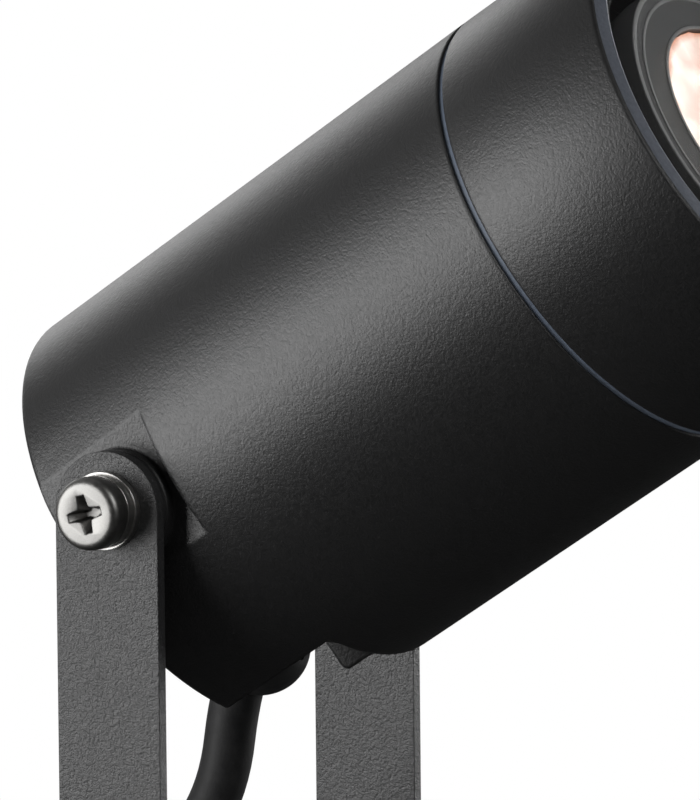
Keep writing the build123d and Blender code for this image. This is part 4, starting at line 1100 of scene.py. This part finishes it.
SOFTBOXES = (
    Softbox("key_softbox", (-0.63, -0.77, 0.02), 0.75, 0.5, 4.9),
    Softbox("rim_softbox", (-0.76, 0.59, 0.3), 1.2, 0.5, 1.6),
    Softbox("back_softbox", (0.42, 0.9, 0.1), 1.1, 0.6, 5.0),
    Softbox("front_softbox", (0.8, -0.2, 0.55), 1.3, 0.6, 5.0))


@dataclass
class Studio:
    """Plain pale floor, white surroundings and soft lamps.

    Attributes:
        floor_size: Side of the floor in metres.
        floor_drop: How far the floor lies under the object, in metres.
        paint: Grey of the floor's paint.
        shares: Share of plain white in the floor near the object, where its shadow shows,
            and far from it.
        fade: Distances in metres between which the share changes.
        ambient: Strength of the surroundings as a light.
        gloom: Brightness of the dark side of the room in gloss.
        bright: Brightness of its bright side in gloss.
        bright_way: Direction of the room's bright side.
        bright_ends: Cosines to that direction between which it brightens.
    """

    floor_size: float = 12.0
    floor_drop: float = 0.0002
    paint: float = 0.8
    shares: Pair = (0.75, 1.0)
    fade: Pair = (0.25, 1.2)
    ambient: float = 0.06
    gloom: float = 0.02
    bright: float = 0.25
    bright_way: Triple = (-0.85, 0.25, 0.46)
    bright_ends: Pair = (0.25, 0.8)

    def world(self) -> None:
        """Make the surroundings: white to the camera, a room with a bright side in gloss."""
        sheet = Wiring(bpy.data.worlds.new("surroundings"), "ShaderNodeOutputWorld")
        way = sheet.add("ShaderNodeNewGeometry")
        toward = sheet.add("ShaderNodeVectorMath", operation="DOT_PRODUCT")
        toward.inputs[1].default_value = Vector(self.bright_way).normalized()
        sheet.join(way.outputs["Position"], toward.inputs[0])
        side = sheet.add("ShaderNodeMapRange", interpolation_type="SMOOTHSTEP",
                         From_Min=self.bright_ends[0], From_Max=self.bright_ends[1],
                         To_Min=self.gloom, To_Max=self.bright)
        sheet.join(toward.outputs["Value"], side.inputs["Value"])
        room, light, white = (sheet.add("ShaderNodeBackground", Color=rgba(1.0, 1.0, 1.0),
                                        Strength=strength)
                              for strength in (self.gloom, self.ambient, 1.0))
        sheet.join(side.outputs["Result"], room.inputs["Strength"])
        unseen = sheet.mix(sheet.rays("Is Glossy Ray", "Is Transmission Ray"),
                           light.outputs[0], room.outputs[0])
        sheet.close(sheet.mix(sheet.rays("Is Camera Ray"), unseen, white.outputs[0]))
        bpy.context.scene.world = sheet.owner

    def floor(self) -> None:
        """Lay the floor, white to the camera where no shadow falls and dim in gloss."""
        floor = model("primitive_plane", size=self.floor_size,
                      location=(0.0, 0.0, -self.floor_drop))
        floor.name = "floor"
        sheet = sheet_for("pale_floor")
        paint = sheet.add("ShaderNodeBsdfDiffuse", Color=rgba(self.paint, self.paint, self.paint))
        glow = sheet.add("ShaderNodeEmission", Strength=1.0)
        dim = sheet.add("ShaderNodeEmission", Strength=self.gloom)
        place = sheet.add("ShaderNodeTexCoord")
        far = sheet.add("ShaderNodeVectorMath", operation="LENGTH")
        sheet.join(place.outputs["Object"], far.inputs[0])
        share = sheet.add("ShaderNodeMapRange", interpolation_type="SMOOTHSTEP",
                          From_Min=self.fade[0], From_Max=self.fade[1],
                          To_Min=self.shares[0], To_Max=self.shares[1])
        sheet.join(far.outputs["Value"], share.inputs["Value"])
        shown = sheet.add("ShaderNodeMath", operation="MULTIPLY")
        sheet.join(sheet.rays("Is Camera Ray"), shown.inputs[0])
        sheet.join(share.outputs["Result"], shown.inputs[1])
        lit = sheet.mix(shown.outputs[0], paint.outputs[0], glow.outputs[0])
        sheet.close(sheet.mix(sheet.rays("Is Glossy Ray", "Is Transmission Ray"), lit,
                              dim.outputs[0]))
        floor.data.materials.append(sheet.owner)

    def build(self) -> None:
        """Set up the whole studio."""
        self.world()
        self.floor()
        for softbox in SOFTBOXES:
            softbox.place()
        bpy.context.scene.view_settings.view_transform = "Standard"
        LOG.info("studio: floor, surroundings and %d softboxes", len(SOFTBOXES))


FINISHES: tuple[tuple[Paint, tuple[str, ...]], ...] = (
    (CAST_COAT, ("head_housing", "front_bezel")),
    (POWDER_COAT, ("bracket",)),
    (SILICONE, ("bezel_seal",)),
    (STAINLESS, ("pivot_screws", "base_bolt", "holder_screws", "holder_rivets", "holder_plate",
                 "earth_screw", "terminal_screws", "earth_lug")),
    (WASHER_STEEL, ("spring_washers", "flat_washers", "base_washer", "base_spring_washer")),
    (NICKEL, ("lamp_pins", "plug_pins", "plug_earth_clips")),
    (BRASS, ("thread_insert",)),
    (RUBBER, ("glass_gasket", "gland_seal", "cable_tail", "plug_sleeve", "plug_body")),
    (POLYAMIDE, ("ground_spike", "gland_nut", "gland_body", "gland_locknut", "terminal_block",
                 "glass_retainer", "friction_washers")),
    (CERAMIC, ("lamp_holder",)),
    # The lamp body gets the lamp shell's painted shade.
    (LAMP_SHELL, ("lamp_body",)),
    (LENS, ("lamp_lens",)),
    (GLASS, ("front_glass",)),
    (BROWN_CORE, ("supply_leads",)),
    (WHITE_CORE, ("holder_leads",)),
    (EARTH_CORE, ("earth_lead",)))


def dress(frame: dict) -> None:
    """Give every CAD node its finish.
    """
    for paint, nodes in FINISHES:
        for name in nodes:
            materials = frame["nodes"][name].data.materials
            materials.clear()
            materials.append(paint.material())
    LOG.info("finishes on %d nodes", sum(len(nodes) for _, nodes in FINISHES))


def main() -> None:
    """Build the whole scene round the frame."""
    logging.basicConfig(level=logging.INFO, format="%(message)s")
    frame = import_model()
    Camera().place()
    PivotScrews().build()
    FrontRing().build()
    LampFront().build()
    PowerCable().build(frame)
    dress(frame)
    Studio().build()


if __name__ == "__main__":
    main()
